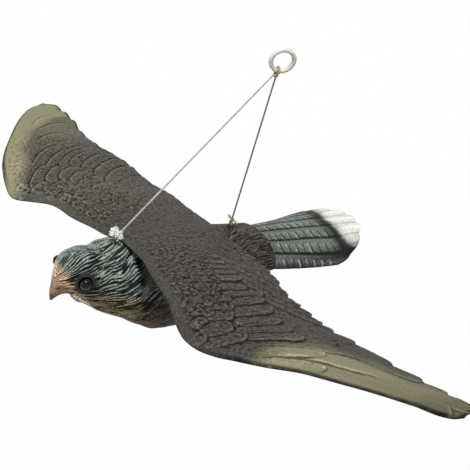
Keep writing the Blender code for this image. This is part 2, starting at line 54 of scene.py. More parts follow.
Array = np.ndarray
Points = Sequence[tuple[float, float]]
Colour = tuple[float, float, float]
Faces = list[tuple[int, ...]]
Masks = dict[str, np.ndarray]
Tree = bpy.types.NodeTree
Node = bpy.types.Node
Socket = bpy.types.NodeSocket
Look = bpy.types.Material
Piece = bpy.types.Object
Scene = bpy.types.Scene


class Side(Enum):
    """Which of two mirrored pieces is meant, and the sign of its X."""

    LEFT = 1
    RIGHT = -1

    @property
    def word(self) -> str:
        """The side's name in piece names."""
        return self.name.lower()


class Body(Enum):
    """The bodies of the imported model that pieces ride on."""

    HANGER = "hanger"
    HITCH = "hitch"
    BRIDLE = "bridle"
    BIRD = "bird"
    LEFT_WING = "left_wing"
    RIGHT_WING = "right_wing"


class Slot(Enum):
    """The record's material slots."""

    BACK = "grey_brown_plumage"
    WING = "wing_plumage"
    BELLY = "dark_belly_plumage"
    TAIL = "green_grey_tail"
    EYE = "black_gloss_eye"
    WASHER = "clear_washer_plastic"
    WIRE = "dark_eyelet_steel"
    RING = "milky_ring_plastic"
    TWINE = "brown_twine"
    PALE_TWINE = "pale_twine"


def smooth(points: Points, at: Array | float) -> Array:
    """Read a smooth curve that keeps to the rises and falls of its points.

    Args:
        points: Places and values, in rising order of place.
        at: Places to read.

    Returns:
        The values there.
    """
    x = np.array([p[0] for p in points], float)
    y = np.array([p[1] for p in points], float)
    step = np.diff(x)
    rise = np.diff(y) / step
    slope = np.zeros_like(y)
    slope[0], slope[-1] = rise[0], rise[-1]
    same = rise[:-1] * rise[1:] > 0
    inner = np.zeros(len(rise) - 1)
    inner[same] = 2.0 * rise[:-1][same] * rise[1:][same] / (rise[:-1][same] + rise[1:][same])
    slope[1:-1] = inner
    at = np.clip(np.asarray(at, float), x[0], x[-1])
    k = np.clip(np.searchsorted(x, at, side="right") - 1, 0, len(step) - 1)
    t = (at - x[k]) / step[k]
    h = step[k]
    keep = (1 + 2 * t) * (1 - t) ** 2 * y[k] + t * t * (3 - 2 * t) * y[k + 1]
    return keep + h * (t * (1 - t) ** 2 * slope[k] - t * t * (1 - t) * slope[k + 1])


def ramp(low: float, high: float, value: Array | float) -> Array:
    """A soft step from 0 at low to 1 at high, where low may be the larger one."""
    t = np.clip((np.asarray(value, float) - low) / (high - low), 0.0, 1.0)
    return t * t * (3 - 2 * t)


def hill(value: Array | float, middle: float, width: float) -> Array:
    """A rounded hill of height 1 at middle."""
    return np.exp(-(((np.asarray(value, float) - middle) / width) ** 2))


class Grain:
    """Seeded lattice noise between -1 and 1 over two or three coordinates."""

    PRIMES = (73856093, 19349663, 83492791)

    def __init__(self, seed: int) -> None:
        """Fill the table of lattice values from the seed."""
        self.table = np.random.default_rng(seed).uniform(-1.0, 1.0, 4096)

    def __call__(self, *places: Array) -> Array:
        """Read the noise.

        Args:
            places: One array for each coordinate, counted in lattice cells.

        Returns:
            The noise at those places.
        """
        cells = [np.floor(p).astype(np.int64) for p in places]
        parts = [p - c for p, c in zip(places, cells)]
        parts = [p * p * (3 - 2 * p) for p in parts]
        total = np.zeros(np.broadcast(*places).shape)
        for corner in itertools.product((0, 1), repeat=len(places)):
            key, weight = np.int64(0), 1.0
            for prime, cell, part, step in zip(self.PRIMES, cells, parts, corner):
                key = key ^ ((cell + step) * prime)
                weight = weight * (part if step else 1 - part)
            total = total + weight * self.table[key & 4095]
        return total


def soften(grid: Array, cells: int) -> Array:
    """Blur a grid over a square of the given half width, twice."""
    for _ in range(2):
        for axis in (0, 1):
            pad = [(0, 0), (0, 0)]
            pad[axis] = (cells + 1, cells)
            total = np.cumsum(np.pad(grid, pad, mode="edge"), axis=axis)
            far = [slice(None), slice(None)]
            near = [slice(None), slice(None)]
            far[axis], near[axis] = slice(2 * cells + 1, None), slice(None, -2 * cells - 1)
            grid = (total[tuple(far)] - total[tuple(near)]) / (2 * cells + 1)
    return grid


@dataclass(frozen=True)
class HangFrame:
    """Where the bird and the ring hang in the world."""

    dive: float = math.radians(20.4)
    hitch_back: float = 0.1353
    hitch_up: float = 0.1494
    ring_mean: float = 0.0104
    ring_tube: float = 0.00215
    ring_turn: float = math.radians(69.0)
    ring_lean: float = math.radians(18.0)
    ring_roll: float = math.radians(13.0)

    def ring_axes(self) -> tuple[Vector, Vector, Vector]:
        """The direction along the ring's tube at the hitch, the one from there across it, and its normal."""
        level = Vector((math.cos(self.ring_turn), math.sin(self.ring_turn), 0))
        facing = Vector((math.sin(self.ring_turn), -math.cos(self.ring_turn), 0))
        upward = math.sin(self.ring_lean) * facing + math.cos(self.ring_lean) * Vector((0, 0, 1))
        along = math.cos(self.ring_roll) * level + math.sin(self.ring_roll) * upward
        over = math.cos(self.ring_roll) * upward - math.sin(self.ring_roll) * level
        return along, over, along.cross(over)

    @property
    def hitch_world(self) -> Vector:
        """The middle of the ring's tube at the hitch."""
        return -(2 * self.ring_mean - self.ring_tube) * self.ring_axes()[1]

    @property
    def hitch_bird(self) -> Vector:
        """The same place in the bird's frame."""
        return Vector((0, self.hitch_back, self.hitch_up))

    def matrix(self) -> Matrix:
        """The bird's frame as a world matrix."""
        tip = Matrix.Rotation(self.dive, 4, "X")
        return Matrix.Translation(self.hitch_world) @ tip @ Matrix.Translation(-self.hitch_bird)

    def world(self, points: Array) -> Array:
        """Take rows of bird points to the world."""
        turn = np.array(self.matrix())
        return np.asarray(points) @ turn[:3, :3].T + turn[:3, 3]


HANG = HangFrame()


def skin_object(name: str, points: Array, faces: Faces, masks: Masks) -> Piece:
    """Make a smooth mesh piece from bird points.

    Args:
        name: Piece name.
        points: Rows of points in the bird's frame.
        faces: Corner numbers of each face, turning left as seen from outside.
        masks: Values for each point that the finish reads, by name.

    Returns:
        The piece, at the origin, with its place in its mesh.
    """
    mesh = bpy.data.meshes.new(name)
    mesh.from_pydata(HANG.world(points).tolist(), [], faces)
    for key, values in masks.items():
        layer = mesh.attributes.new(key, "FLOAT", "POINT")
        layer.data.foreach_set("value", np.asarray(values, np.float32).ravel())
    mesh.shade_smooth()
    mesh.update()
    made = bpy.data.objects.new(name, mesh)
    bpy.context.scene.collection.objects.link(made)
    return made


def grid_faces(rows: int, columns: int, start: int = 0, flip: bool = False) -> Faces:
    """Four-cornered faces of a grid of points that is stored row by row.

    Args:
        rows: Number of rows.
        columns: Points in a row.
        start: Number of the grid's first point.
        flip: Turn the faces to the other side.

    Returns:
        The faces.
    """
    first = (np.arange(rows - 1)[:, None] * columns + np.arange(columns - 1)[None, :] + start).ravel()
    corners = [first, first + columns, first + columns + 1, first + 1]
    if flip:
        corners.reverse()
    return list(zip(*(c.tolist() for c in corners)))


def strip_faces(one: Sequence[int], other: Sequence[int], flip: bool = False) -> Faces:
    """A strip of faces between two rows of point numbers."""
    faces = [(one[i], other[i], other[i + 1], one[i + 1]) for i in range(len(one) - 1)]
    return [f[::-1] for f in faces] if flip else faces


def surface_normals(points: Array) -> Array:
    """Unit normals of a grid of points with shape (rows, columns, 3)."""
    down = np.gradient(points, axis=0)
    along = np.gradient(points, axis=1)
    normal = np.cross(down, along)
    return normal / np.maximum(np.linalg.norm(normal, axis=2, keepdims=True), 1e-12)


@dataclass(frozen=True)
class Spray:
    """One airbrushed colour and the mask that it is laid on by."""

    mask: str
    colour: Colour


@dataclass(frozen=True)
class PaintFinish:
    """Moulded plastic with airbrushed colours, painted shade in the recesses and painted highlights on the
    ridges.
    """

    name: str
    base: Colour
    sprays: tuple[Spray, ...] = ()
    wash: Colour = (0.012, 0.011, 0.010)
    shade_paint_amount: float = 0.6
    highlight_gain: float = 3.0
    highlight_amount: float = 0.25
    barb_shade: float = 0.0
    tone_amount: float = 0.18
    barb_depth: float = 0.0
    roughness: float = 0.52
    grain_depth: float = 0.5


class ShaderKit:
    """Node groups that several finishes share, and small helpers to wire them."""

    def __init__(self) -> None:
        """Build the shared groups."""
        self.paint = self._paint_group()
        self.barbs = self._barb_group()
        self.fibres = self._fibre_group()

    @staticmethod
    def group(
        name: str, inputs: Sequence[tuple[str, str, object]], outputs: Sequence[tuple[str, str]],
    ) -> Tree:
        """Start a shader group.

        Args:
            name: Group name.
            inputs: Name, socket kind and default of each input.
            outputs: Name and socket kind of each output.

        Returns:
            The group's tree, with its input and output nodes.
        """
        tree = bpy.data.node_groups.new(name, "ShaderNodeTree")
        for title, kind, value in inputs:
            socket = tree.interface.new_socket(title, in_out="INPUT", socket_type=kind)
            socket.default_value = value
        for title, kind in outputs:
            tree.interface.new_socket(title, in_out="OUTPUT", socket_type=kind)
        tree.nodes.new("NodeGroupInput")
        tree.nodes.new("NodeGroupOutput")
        return tree

    @staticmethod
    def math(tree: Tree, kind: str, *values: object) -> Socket:
        """Add a Math node whose values are sockets or numbers, and return its output."""
        node = tree.nodes.new("ShaderNodeMath")
        node.operation = kind
        for socket, value in zip(node.inputs, values):
            if isinstance(value, Socket):
                tree.links.new(value, socket)
            else:
                socket.default_value = value
        return node.outputs[0]

    @staticmethod
    def mix(tree: Tree, factor: object, one: object, other: object, blend: str = "MIX") -> Socket:
        """Add a colour Mix node whose inputs are sockets or values, and return its colour."""
        node = tree.nodes.new("ShaderNodeMix")
        node.data_type = "RGBA"
        node.blend_type = blend
        for socket, value in ((node.inputs[0], factor), (node.inputs[6], one), (node.inputs[7], other)):
            if isinstance(value, Socket):
                tree.links.new(value, socket)
            elif isinstance(value, tuple):
                socket.default_value = (*value, 1.0)
            else:
                socket.default_value = value
        return node.outputs[2]

    @staticmethod
    def noise(tree: Tree, place: Socket, scale: float, detail: float = 2.0) -> Socket:
        """Add a Noise Texture and return its value."""
        node = tree.nodes.new("ShaderNodeTexNoise")
        node.inputs["Scale"].default_value = scale
        node.inputs["Detail"].default_value = detail
        tree.links.new(place, node.inputs["Vector"])
        return node.outputs[0]

    @staticmethod
    def mask(tree: Tree, name: str) -> Socket:
        """Read one of the piece's own masks."""
        node = tree.nodes.new("ShaderNodeAttribute")
        node.attribute_name = name
        return node.outputs["Fac"]

    def _paint_group(self) -> Tree:
        """Paint over moulded relief: painted shade in recesses, painted highlights on ridges, feather tone and
        mist.
        """
        colour, number = "NodeSocketColor", "NodeSocketFloat"
        grey = (0.1, 0.1, 0.1, 1.0)
        tree = self.group(
            "paint_over_relief",
            [
                ("Paint", colour, grey), ("Recess", number, 0.0),
                ("Ridge", number, 0.0), ("Tone", number, 0.0),
                ("Wash", colour, grey), ("Shade Paint Amount", number, 0.6), ("Highlight Gain", number, 3.0),
                ("Highlight Amount", number, 0.25), ("Tone Amount", number, 0.2), ("Base Roughness", number, 0.5),
                ("Mottle", number, 1.0),
            ],
            [("Color", colour), ("Roughness", number), ("Height", number)],
        )
        given = tree.nodes["Group Input"].outputs
        place = tree.nodes.new("ShaderNodeTexCoord").outputs["Object"]
        mist = self.noise(tree, place, 700.0, 4.0)
        patch = self.noise(tree, place, 70.0, 3.0)
        grain = self.noise(tree, place, 1500.0, 2.0)
        # Painted shade: the recesses are darkened towards the shade colour.
        shade_share = self.math(tree, "MULTIPLY_ADD", patch, 0.8, 0.6)
        shade_share = self.math(tree, "MULTIPLY", shade_share, given["Shade Paint Amount"])
        shade_share = self.math(tree, "MULTIPLY", shade_share, given["Recess"])
        shade_share = self.math(tree, "MINIMUM", shade_share, 1.0)
        # Painted highlight: the ridges are lightened by the highlight gain.
        highlight_share = self.math(tree, "MULTIPLY_ADD", mist, 1.6, 0.2)
        highlight_share = self.math(tree, "MULTIPLY", highlight_share, given["Highlight Amount"])
        highlight_share = self.math(tree, "MULTIPLY", highlight_share, given["Ridge"])
        highlight_share = self.math(tree, "MINIMUM", highlight_share, 1.0)
        tone = self.math(tree, "MULTIPLY", given["Tone"], given["Tone Amount"])
        mottle = self.math(tree, "MULTIPLY_ADD", mist, 3.0, -1.5)
        mottle = self.math(tree, "MULTIPLY_ADD", mottle, given["Mottle"], 1.0)
        level = self.math(tree, "MULTIPLY_ADD", tone, mottle, mottle)
        shade = tree.nodes.new("ShaderNodeCombineColor")
        for socket in list(shade.inputs)[:3]:
            tree.links.new(level, socket)
        washed = self.mix(tree, shade_share, given["Paint"], given["Wash"])
        gain = tree.nodes.new("ShaderNodeCombineColor")
        for socket in list(gain.inputs)[:3]:
            tree.links.new(given["Highlight Gain"], socket)
        lighter = self.mix(tree, 1.0, given["Paint"], gain.outputs[0], "MULTIPLY")
        rubbed = self.mix(tree, highlight_share, washed, lighter)
        toned = self.mix(tree, 1.0, rubbed, shade.outputs[0], "MULTIPLY")
        rough = self.math(tree, "MULTIPLY_ADD", mist, 0.22, -0.11)
        rough = self.math(tree, "ADD", rough, given["Base Roughness"])
        rough = self.math(tree, "MULTIPLY_ADD", given["Recess"], 0.15, rough)
        result = tree.nodes["Group Output"].inputs
        tree.links.new(toned, result["Color"])
        tree.links.new(rough, result["Roughness"])
        tree.links.new(self.math(tree, "MULTIPLY_ADD", mist, 2.0, grain), result["Height"])
        return tree

    def _barb_group(self) -> Tree:
        """Fine ribs along a feather's barbs, from the barb count."""
        number = "NodeSocketFloat"
        tree = self.group(
            "feather_barbs",
            [
                ("Barb", number, 0.0), ("Amount", number, 1.0),
                ("Grain", number, 0.0), ("Grain Amount", number, 0.3),
            ],
            [("Height", number), ("Groove", number)],
        )
        given = tree.nodes["Group Input"].outputs
        turn = self.math(tree, "MULTIPLY", given["Barb"], 2 * math.pi)
        wave = self.math(tree, "SINE", turn)
        rib = self.math(tree, "MULTIPLY", wave, given["Amount"])
        height = self.math(tree, "MULTIPLY_ADD", given["Grain"], given["Grain Amount"], rib)
        groove = self.math(tree, "MULTIPLY_ADD", wave, -0.5, 0.5)
        result = tree.nodes["Group Output"].inputs
        tree.links.new(height, result["Height"])
        tree.links.new(groove, result["Groove"])
        return tree

    def _fibre_group(self) -> Tree:
        """Loose fibres and stains of natural twine, with its shaded colour as painted shade among the fibres.
        """
        colour, number = "NodeSocketColor", "NodeSocketFloat"
        grey = (0.5, 0.45, 0.35, 1.0)
        tree = self.group(
            "twine_fibres",
            [("Light", colour, grey), ("Dark", colour, grey), ("Scale", number, 1800.0)],
            [("Color", colour), ("Height", number)],
        )
        given = tree.nodes["Group Input"].outputs
        place = tree.nodes.new("ShaderNodeTexCoord").outputs["Object"]
        node = tree.nodes.new("ShaderNodeTexNoise")
        node.inputs["Detail"].default_value = 3.0
        tree.links.new(place, node.inputs["Vector"])
        tree.links.new(given["Scale"], node.inputs["Scale"])
        stain = self.noise(tree, place, 160.0, 2.0)
        share = self.math(tree, "MULTIPLY_ADD", node.outputs[0], 1.8, -0.4)
        share = self.math(tree, "MULTIPLY_ADD", stain, 0.6, self.math(tree, "SUBTRACT", share, 0.3))
        share = self.math(tree, "MINIMUM", self.math(tree, "MAXIMUM", share, 0.0), 1.0)
        mixed = self.mix(tree, share, given["Light"], given["Dark"])
        result = tree.nodes["Group Output"].inputs
        tree.links.new(mixed, result["Color"])
        tree.links.new(node.outputs[0], result["Height"])
        return tree

    @staticmethod
    def start(name: str) -> tuple[Look, Tree, Node]:
        """Make an empty node material and return it with its tree and its Principled shader."""
        made = bpy.data.materials.new(name)
        made.use_nodes = True
        tree = made.node_tree
        return made, tree, tree.nodes["Principled BSDF"]

    @staticmethod
    def place_group(tree: Tree, group: Tree) -> Node:
        """Place a shared group in a material."""
        node = tree.nodes.new("ShaderNodeGroup")
        node.node_tree = group
        return node

    @staticmethod
    def bump(tree: Tree, shader: Node, height: Socket, depth: float) -> None:
        """Feed a height to the shader's normal through a Bump node."""
        node = tree.nodes.new("ShaderNodeBump")
        node.inputs["Strength"].default_value = 0.6
        node.inputs["Distance"].default_value = depth
        tree.links.new(height, node.inputs["Height"])
        tree.links.new(node.outputs[0], shader.inputs["Normal"])

    def painted(self, finish: PaintFinish) -> Look:
        """Make the material of a painted moulding."""
        made, tree, shader = self.start(finish.name)
        colour: object = finish.base
        for spray in finish.sprays:
            colour = self.mix(tree, self.mask(tree, spray.mask), colour, spray.colour)
        node = self.place_group(tree, self.paint)
        if isinstance(colour, tuple):
            node.inputs["Paint"].default_value = (*colour, 1.0)
        else:
            tree.links.new(colour, node.inputs["Paint"])
        ribs = self.place_group(tree, self.barbs)
        tree.links.new(self.mask(tree, "barb"), ribs.inputs["Barb"])
        # Painted shade in the barbs' grooves, added to the recess mask.
        hatch = self.math(tree, "MULTIPLY", self.mask(tree, "hatch"), finish.barb_shade)
        deep = self.math(tree, "MULTIPLY_ADD", ribs.outputs["Groove"], hatch, self.mask(tree, "recess"))
        tree.links.new(deep, node.inputs["Recess"])
        for title, name in (("Ridge", "ridge"), ("Tone", "tone")):
            tree.links.new(self.mask(tree, name), node.inputs[title])
        tree.links.new(self.math(tree, "SUBTRACT", 1.0, self.mask(tree, "plain")), node.inputs["Mottle"])
        node.inputs["Wash"].default_value = (*finish.wash, 1.0)
        node.inputs["Shade Paint Amount"].default_value = finish.shade_paint_amount
        node.inputs["Highlight Gain"].default_value = finish.highlight_gain
        node.inputs["Highlight Amount"].default_value = finish.highlight_amount
        node.inputs["Tone Amount"].default_value = finish.tone_amount
        node.inputs["Base Roughness"].default_value = finish.roughness
        tree.links.new(node.outputs["Height"], ribs.inputs["Grain"])
        depth = self.math(tree, "MULTIPLY", self.mask(tree, "hatch"), finish.barb_depth)
        tree.links.new(depth, ribs.inputs["Amount"])
        ribs.inputs["Grain Amount"].default_value = finish.grain_depth
        tree.links.new(node.outputs["Color"], shader.inputs["Base Color"])
        tree.links.new(node.outputs["Roughness"], shader.inputs["Roughness"])
        shader.inputs["Specular IOR Level"].default_value = 0.08
        self.bump(tree, shader, ribs.outputs["Height"], 0.0005)
        return made


@dataclass(frozen=True)
class TwineFinish:
    """Natural twine: the colours of its lit and shaded fibres."""

    name: str
    light: Colour
    dark: Colour

    def material(self, kit: ShaderKit) -> Look:
        """Make the twine's material."""
        made, tree, shader = kit.start(self.name)
        node = kit.place_group(tree, kit.fibres)
        node.inputs["Light"].default_value = (*self.light, 1.0)
        node.inputs["Dark"].default_value = (*self.dark, 1.0)
        tree.links.new(node.outputs["Color"], shader.inputs["Base Color"])
        shader.inputs["Roughness"].default_value = 0.9
        shader.inputs["Specular IOR Level"].default_value = 0.2
        kit.bump(tree, shader, node.outputs["Height"], 0.0003)
        return made


@dataclass(frozen=True)
class GlossFinish:
    """The eyes' black glossy plastic."""

    name: str = "black_gloss_eye"
    colour: Colour = (0.0012, 0.0011, 0.0011)
    iris: Colour = (0.0030, 0.0020, 0.0015)

    def material(self, kit: ShaderKit) -> Look:
        """Make the eye's material, with a faint brown iris deep in the black."""
        made, tree, shader = kit.start(self.name)
        place = tree.nodes.new("ShaderNodeTexCoord").outputs["Object"]
        cloud = kit.noise(tree, place, 600.0, 2.0)
        share = kit.math(tree, "MULTIPLY", kit.mask(tree, "iris"), cloud)
        tree.links.new(kit.mix(tree, share, self.colour, self.iris), shader.inputs["Base Color"])
        rough = kit.math(tree, "MULTIPLY_ADD", cloud, 0.02, 0.015)
        tree.links.new(rough, shader.inputs["Roughness"])
        shader.inputs["Specular IOR Level"].default_value = 0.20
        return made


@dataclass(frozen=True)
class MilkyFinish:
    """Translucent milky plastic of the ring and the washers."""

    name: str
    colour: Colour
    cloud: Colour
    roughness: float = 0.28

    def material(self, kit: ShaderKit) -> Look:
        """Make the milky plastic's material."""
        made, tree, shader = kit.start(self.name)
        place = tree.nodes.new("ShaderNodeTexCoord").outputs["Object"]
        flow = kit.noise(tree, place, 120.0, 3.0)
        grain = kit.noise(tree, place, 900.0, 2.0)
        tree.links.new(kit.mix(tree, flow, self.colour, self.cloud), shader.inputs["Base Color"])
        tree.links.new(
            kit.math(tree, "MULTIPLY_ADD", grain, 0.2, self.roughness - 0.1), shader.inputs["Roughness"],
        )
        shader.inputs["Subsurface Weight"].default_value = 0.85
        shader.inputs["Subsurface Radius"].default_value = (1.0, 0.95, 0.85)
        shader.inputs["Subsurface Scale"].default_value = 0.004
        kit.bump(tree, shader, grain, 0.00001)
        return made


@dataclass(frozen=True)
class WireFinish:
    """Dull dark steel of the eyelets."""

    name: str = "dark_eyelet_steel"
    colour: Colour = (0.09, 0.08, 0.07)
    rust: Colour = (0.07, 0.035, 0.018)

    def material(self, kit: ShaderKit) -> Look:
        """Make the steel's material with a little rust."""
        made, tree, shader = kit.start(self.name)
        place = tree.nodes.new("ShaderNodeTexCoord").outputs["Object"]
        spots = kit.noise(tree, place, 700.0, 3.0)
        share = kit.math(tree, "MULTIPLY_ADD", spots, 2.2, -0.9)
        share = kit.math(tree, "MINIMUM", kit.math(tree, "MAXIMUM", share, 0.0), 0.8)
        tree.links.new(kit.mix(tree, share, self.colour, self.rust), shader.inputs["Base Color"])
        tree.links.new(kit.math(tree, "SUBTRACT", 0.95, share), shader.inputs["Metallic"])
        tree.links.new(kit.math(tree, "MULTIPLY_ADD", share, 0.4, 0.35), shader.inputs["Roughness"])
        return made


@dataclass(frozen=True)
class Feather:
    """One feather seen from above: its root, its aim from the tail's direction outwards, and its relief."""

    root: tuple[float, float]
    aim: float
    length: float
    width: float
    lift: float = 0.0008
    crown: float = 0.0004
    tilt: float = 0.0003
    rim: float = 0.00015
    curl: float = 0.0
    heel: float = 0.0
    pitch: float = 0.0022
    shear: float = 0.6
    bend: float = 0.0
    fade: float = 0.0
    blunt: float = 1.2
    # The next three: strength and width of the painted shadow outside the lee edge, and strength of the painted
    # highlight inside it.
    outline: float = 1.0
    line: float = 0.0009
    shine: float = 0.5
    streak: float = 0.0
    melt: float = 0.0
    tone: float = 0.0


@dataclass(frozen=True)
class FeatherRow:
    """A row of like feathers along the wing, by the places of their tips."""

    first: float
    last: float
    spacing: float
    chord: tuple[float, float]
    aim: tuple[float, float]
    length: float
    width: float
    lift: float = 0.0008
    crown: float = 0.0004
    tilt: float = 0.0003
    rim: float = 0.00015
    curl: float = 0.0
    heel: float = 0.0
    # Strength of the painted shadow and highlight at the feathers' edges.
    outline: float = 1.0
    scatter: float = 0.08


class FeatherBed:
    """A map from above of overlapping feathers: height, barb count and tone of the uppermost one."""

    def __init__(self, low: tuple[float, float], high: tuple[float, float], step: float = 0.0004) -> None:
        """Start with bare ground between two corners."""
        self.low, self.step = low, step
        self.x = np.arange(low[0], high[0], step)
        self.y = np.arange(low[1], high[1], step)
        shape = (len(self.x), len(self.y))
        x, y = self.x[:, None], self.y[None, :]
        sway = Grain(57)
        self.at_x = x + 0.0007 * sway(x / 0.0070, y / 0.0070) + 0.00015 * sway(x / 0.0024 + 30, y / 0.0024)
        self.at_y = y + 0.0007 * sway(x / 0.0070 + 70, y / 0.0070) + 0.00015 * sway(x / 0.0024 + 50, y / 0.0024)
        self.height = np.zeros(shape)
        self.barb = np.zeros(shape)
        self.tone = np.zeros(shape)
        self.shade = np.zeros(shape)
        self.light = np.zeros(shape)

    def lay(self, feather: Feather) -> None:
        """Lay a feather over the ones that are there, with a painted shadow outside its lee edge and a painted
        highlight inside it.
        """
        out, back = math.sin(feather.aim), math.cos(feather.aim)
        root = feather.root
        tip = (root[0] + out * feather.length, root[1] + back * feather.length)
        half = 0.5 * feather.width + abs(feather.bend) + 2 * feather.line
        spans = []
        for axis in (0, 1):
            first = (min(root[axis], tip[axis]) - half - self.low[axis]) / self.step
            last = (max(root[axis], tip[axis]) + half - self.low[axis]) / self.step
            count = self.height.shape[axis]
            spans.append(slice(int(np.clip(first, 0, count)), int(np.clip(last + 2, 0, count))))
        half = 0.5 * feather.width
        x, y = self.at_x[spans[0], spans[1]], self.at_y[spans[0], spans[1]]
        along = ((x - root[0]) * out + (y - root[1]) * back) / feather.length
        aside = (x - root[0]) * back - (y - root[1]) * out
        aside = aside - feather.bend * 4 * along * (1 - along)
        end = min(0.6, feather.blunt * half / feather.length)
        tip_part = np.clip((along - 1 + end) / end, 0.0, 1.0)
        wide = half * np.sqrt(1 - tip_part**2)
        if feather.heel > 0:
            wide *= np.sqrt(1 - np.clip(1 - along / feather.heel, 0.0, 1.0) ** 2)
        else:
            wide *= 0.7 + 0.3 * ramp(0.0, 0.35, along)
        inside = (along > 0) & (along < 1) & (np.abs(aside) < wide)
        edge = wide - np.abs(aside)
        across = np.clip(aside / np.maximum(wide, 1e-6), -1.0, 1.0)
        height = feather.lift * along + feather.crown * (1 - across**2) + feather.tilt * across
        height += feather.rim * np.exp(-((edge / 0.0008) ** 2))
        height += feather.streak * np.cos(
            2 * math.pi * aside / 0.0032 + 3 * along
        ) * ramp(0.0, 0.0015, edge)
        middle = np.hypot((along - 1) * feather.length + 0.9 * half, aside) / half
        height += feather.curl * np.cos(2 * math.pi * 1.25 * middle) * ramp(1.15, 0.9, middle)
        kept = 1 - feather.melt * ramp(0.3, 0.8, along)
        edge_shading_share = feather.outline * ramp(0.0, max(feather.fade, 0.2), along) * kept
        if feather.fade > 0:
            height *= ramp(0.0, feather.fade, along)
        height *= kept
        barb = (along * feather.length - feather.shear * np.abs(aside)) / feather.pitch
        outside = np.hypot(np.maximum(-edge, 0.0), np.maximum(along - 1, 0.0) * feather.length)
        lee = 0.2 + 0.8 * ramp(-0.5, 0.3, across)
        # Painted shadow outside the lee edge and tip, painted highlight just inside the edge.
        shade = np.where(inside, 0.0, edge_shading_share * lee * hill(outside, 0.5 * feather.line, feather.line))
        lit = feather.shine * edge_shading_share * lee * hill(edge, 0.0007, 0.0007)
        for field_map, value in (
            (self.height, height), (self.barb, barb),
            (self.tone, feather.tone), (self.light, lit), (self.shade, shade),
        ):
            part = field_map[spans[0], spans[1]]
            part[inside] = value[inside] if isinstance(value, np.ndarray) else value
        part = self.shade[spans[0], spans[1]]
        np.maximum(part, shade, out=part)

    def settle(self, scale: float, lump: Array) -> None:
        """Scale the relief, add hand-cut unevenness, round the edges and work out the recesses and ridges,
        which take painted shade and painted highlights.
        """
        self.height = soften(self.height * scale + lump, 1)
        near, wide = soften(self.height, 2), soften(self.height, 6)
        deep = (wide - self.height) / 0.00058 + (near - self.height) / 0.00022 - 0.18
        tall = (self.height - wide) / 0.00090 + (self.height - near) / 0.00025 - 0.25
        self.recess = np.clip(np.maximum(deep, 0.0) + self.shade, 0.0, 1.0)
        self.ridge = np.clip(np.maximum(tall, 0.0) + 0.85 * self.light * (1 - self.shade), 0.0, 1.0)

    def read(self, grid: Array, x: Array, y: Array) -> Array:
        """Read one of the bed's maps at places, blended between its cells."""
        u = np.clip((x - self.low[0]) / self.step, 0, grid.shape[0] - 1.001)
        v = np.clip((y - self.low[1]) / self.step, 0, grid.shape[1] - 1.001)
        i, j = u.astype(int), v.astype(int)
        s, t = u - i, v - j
        near = grid[i, j] * (1 - t) + grid[i, j + 1] * t
        far = grid[i + 1, j] * (1 - t) + grid[i + 1, j + 1] * t
        return near * (1 - s) + far * s


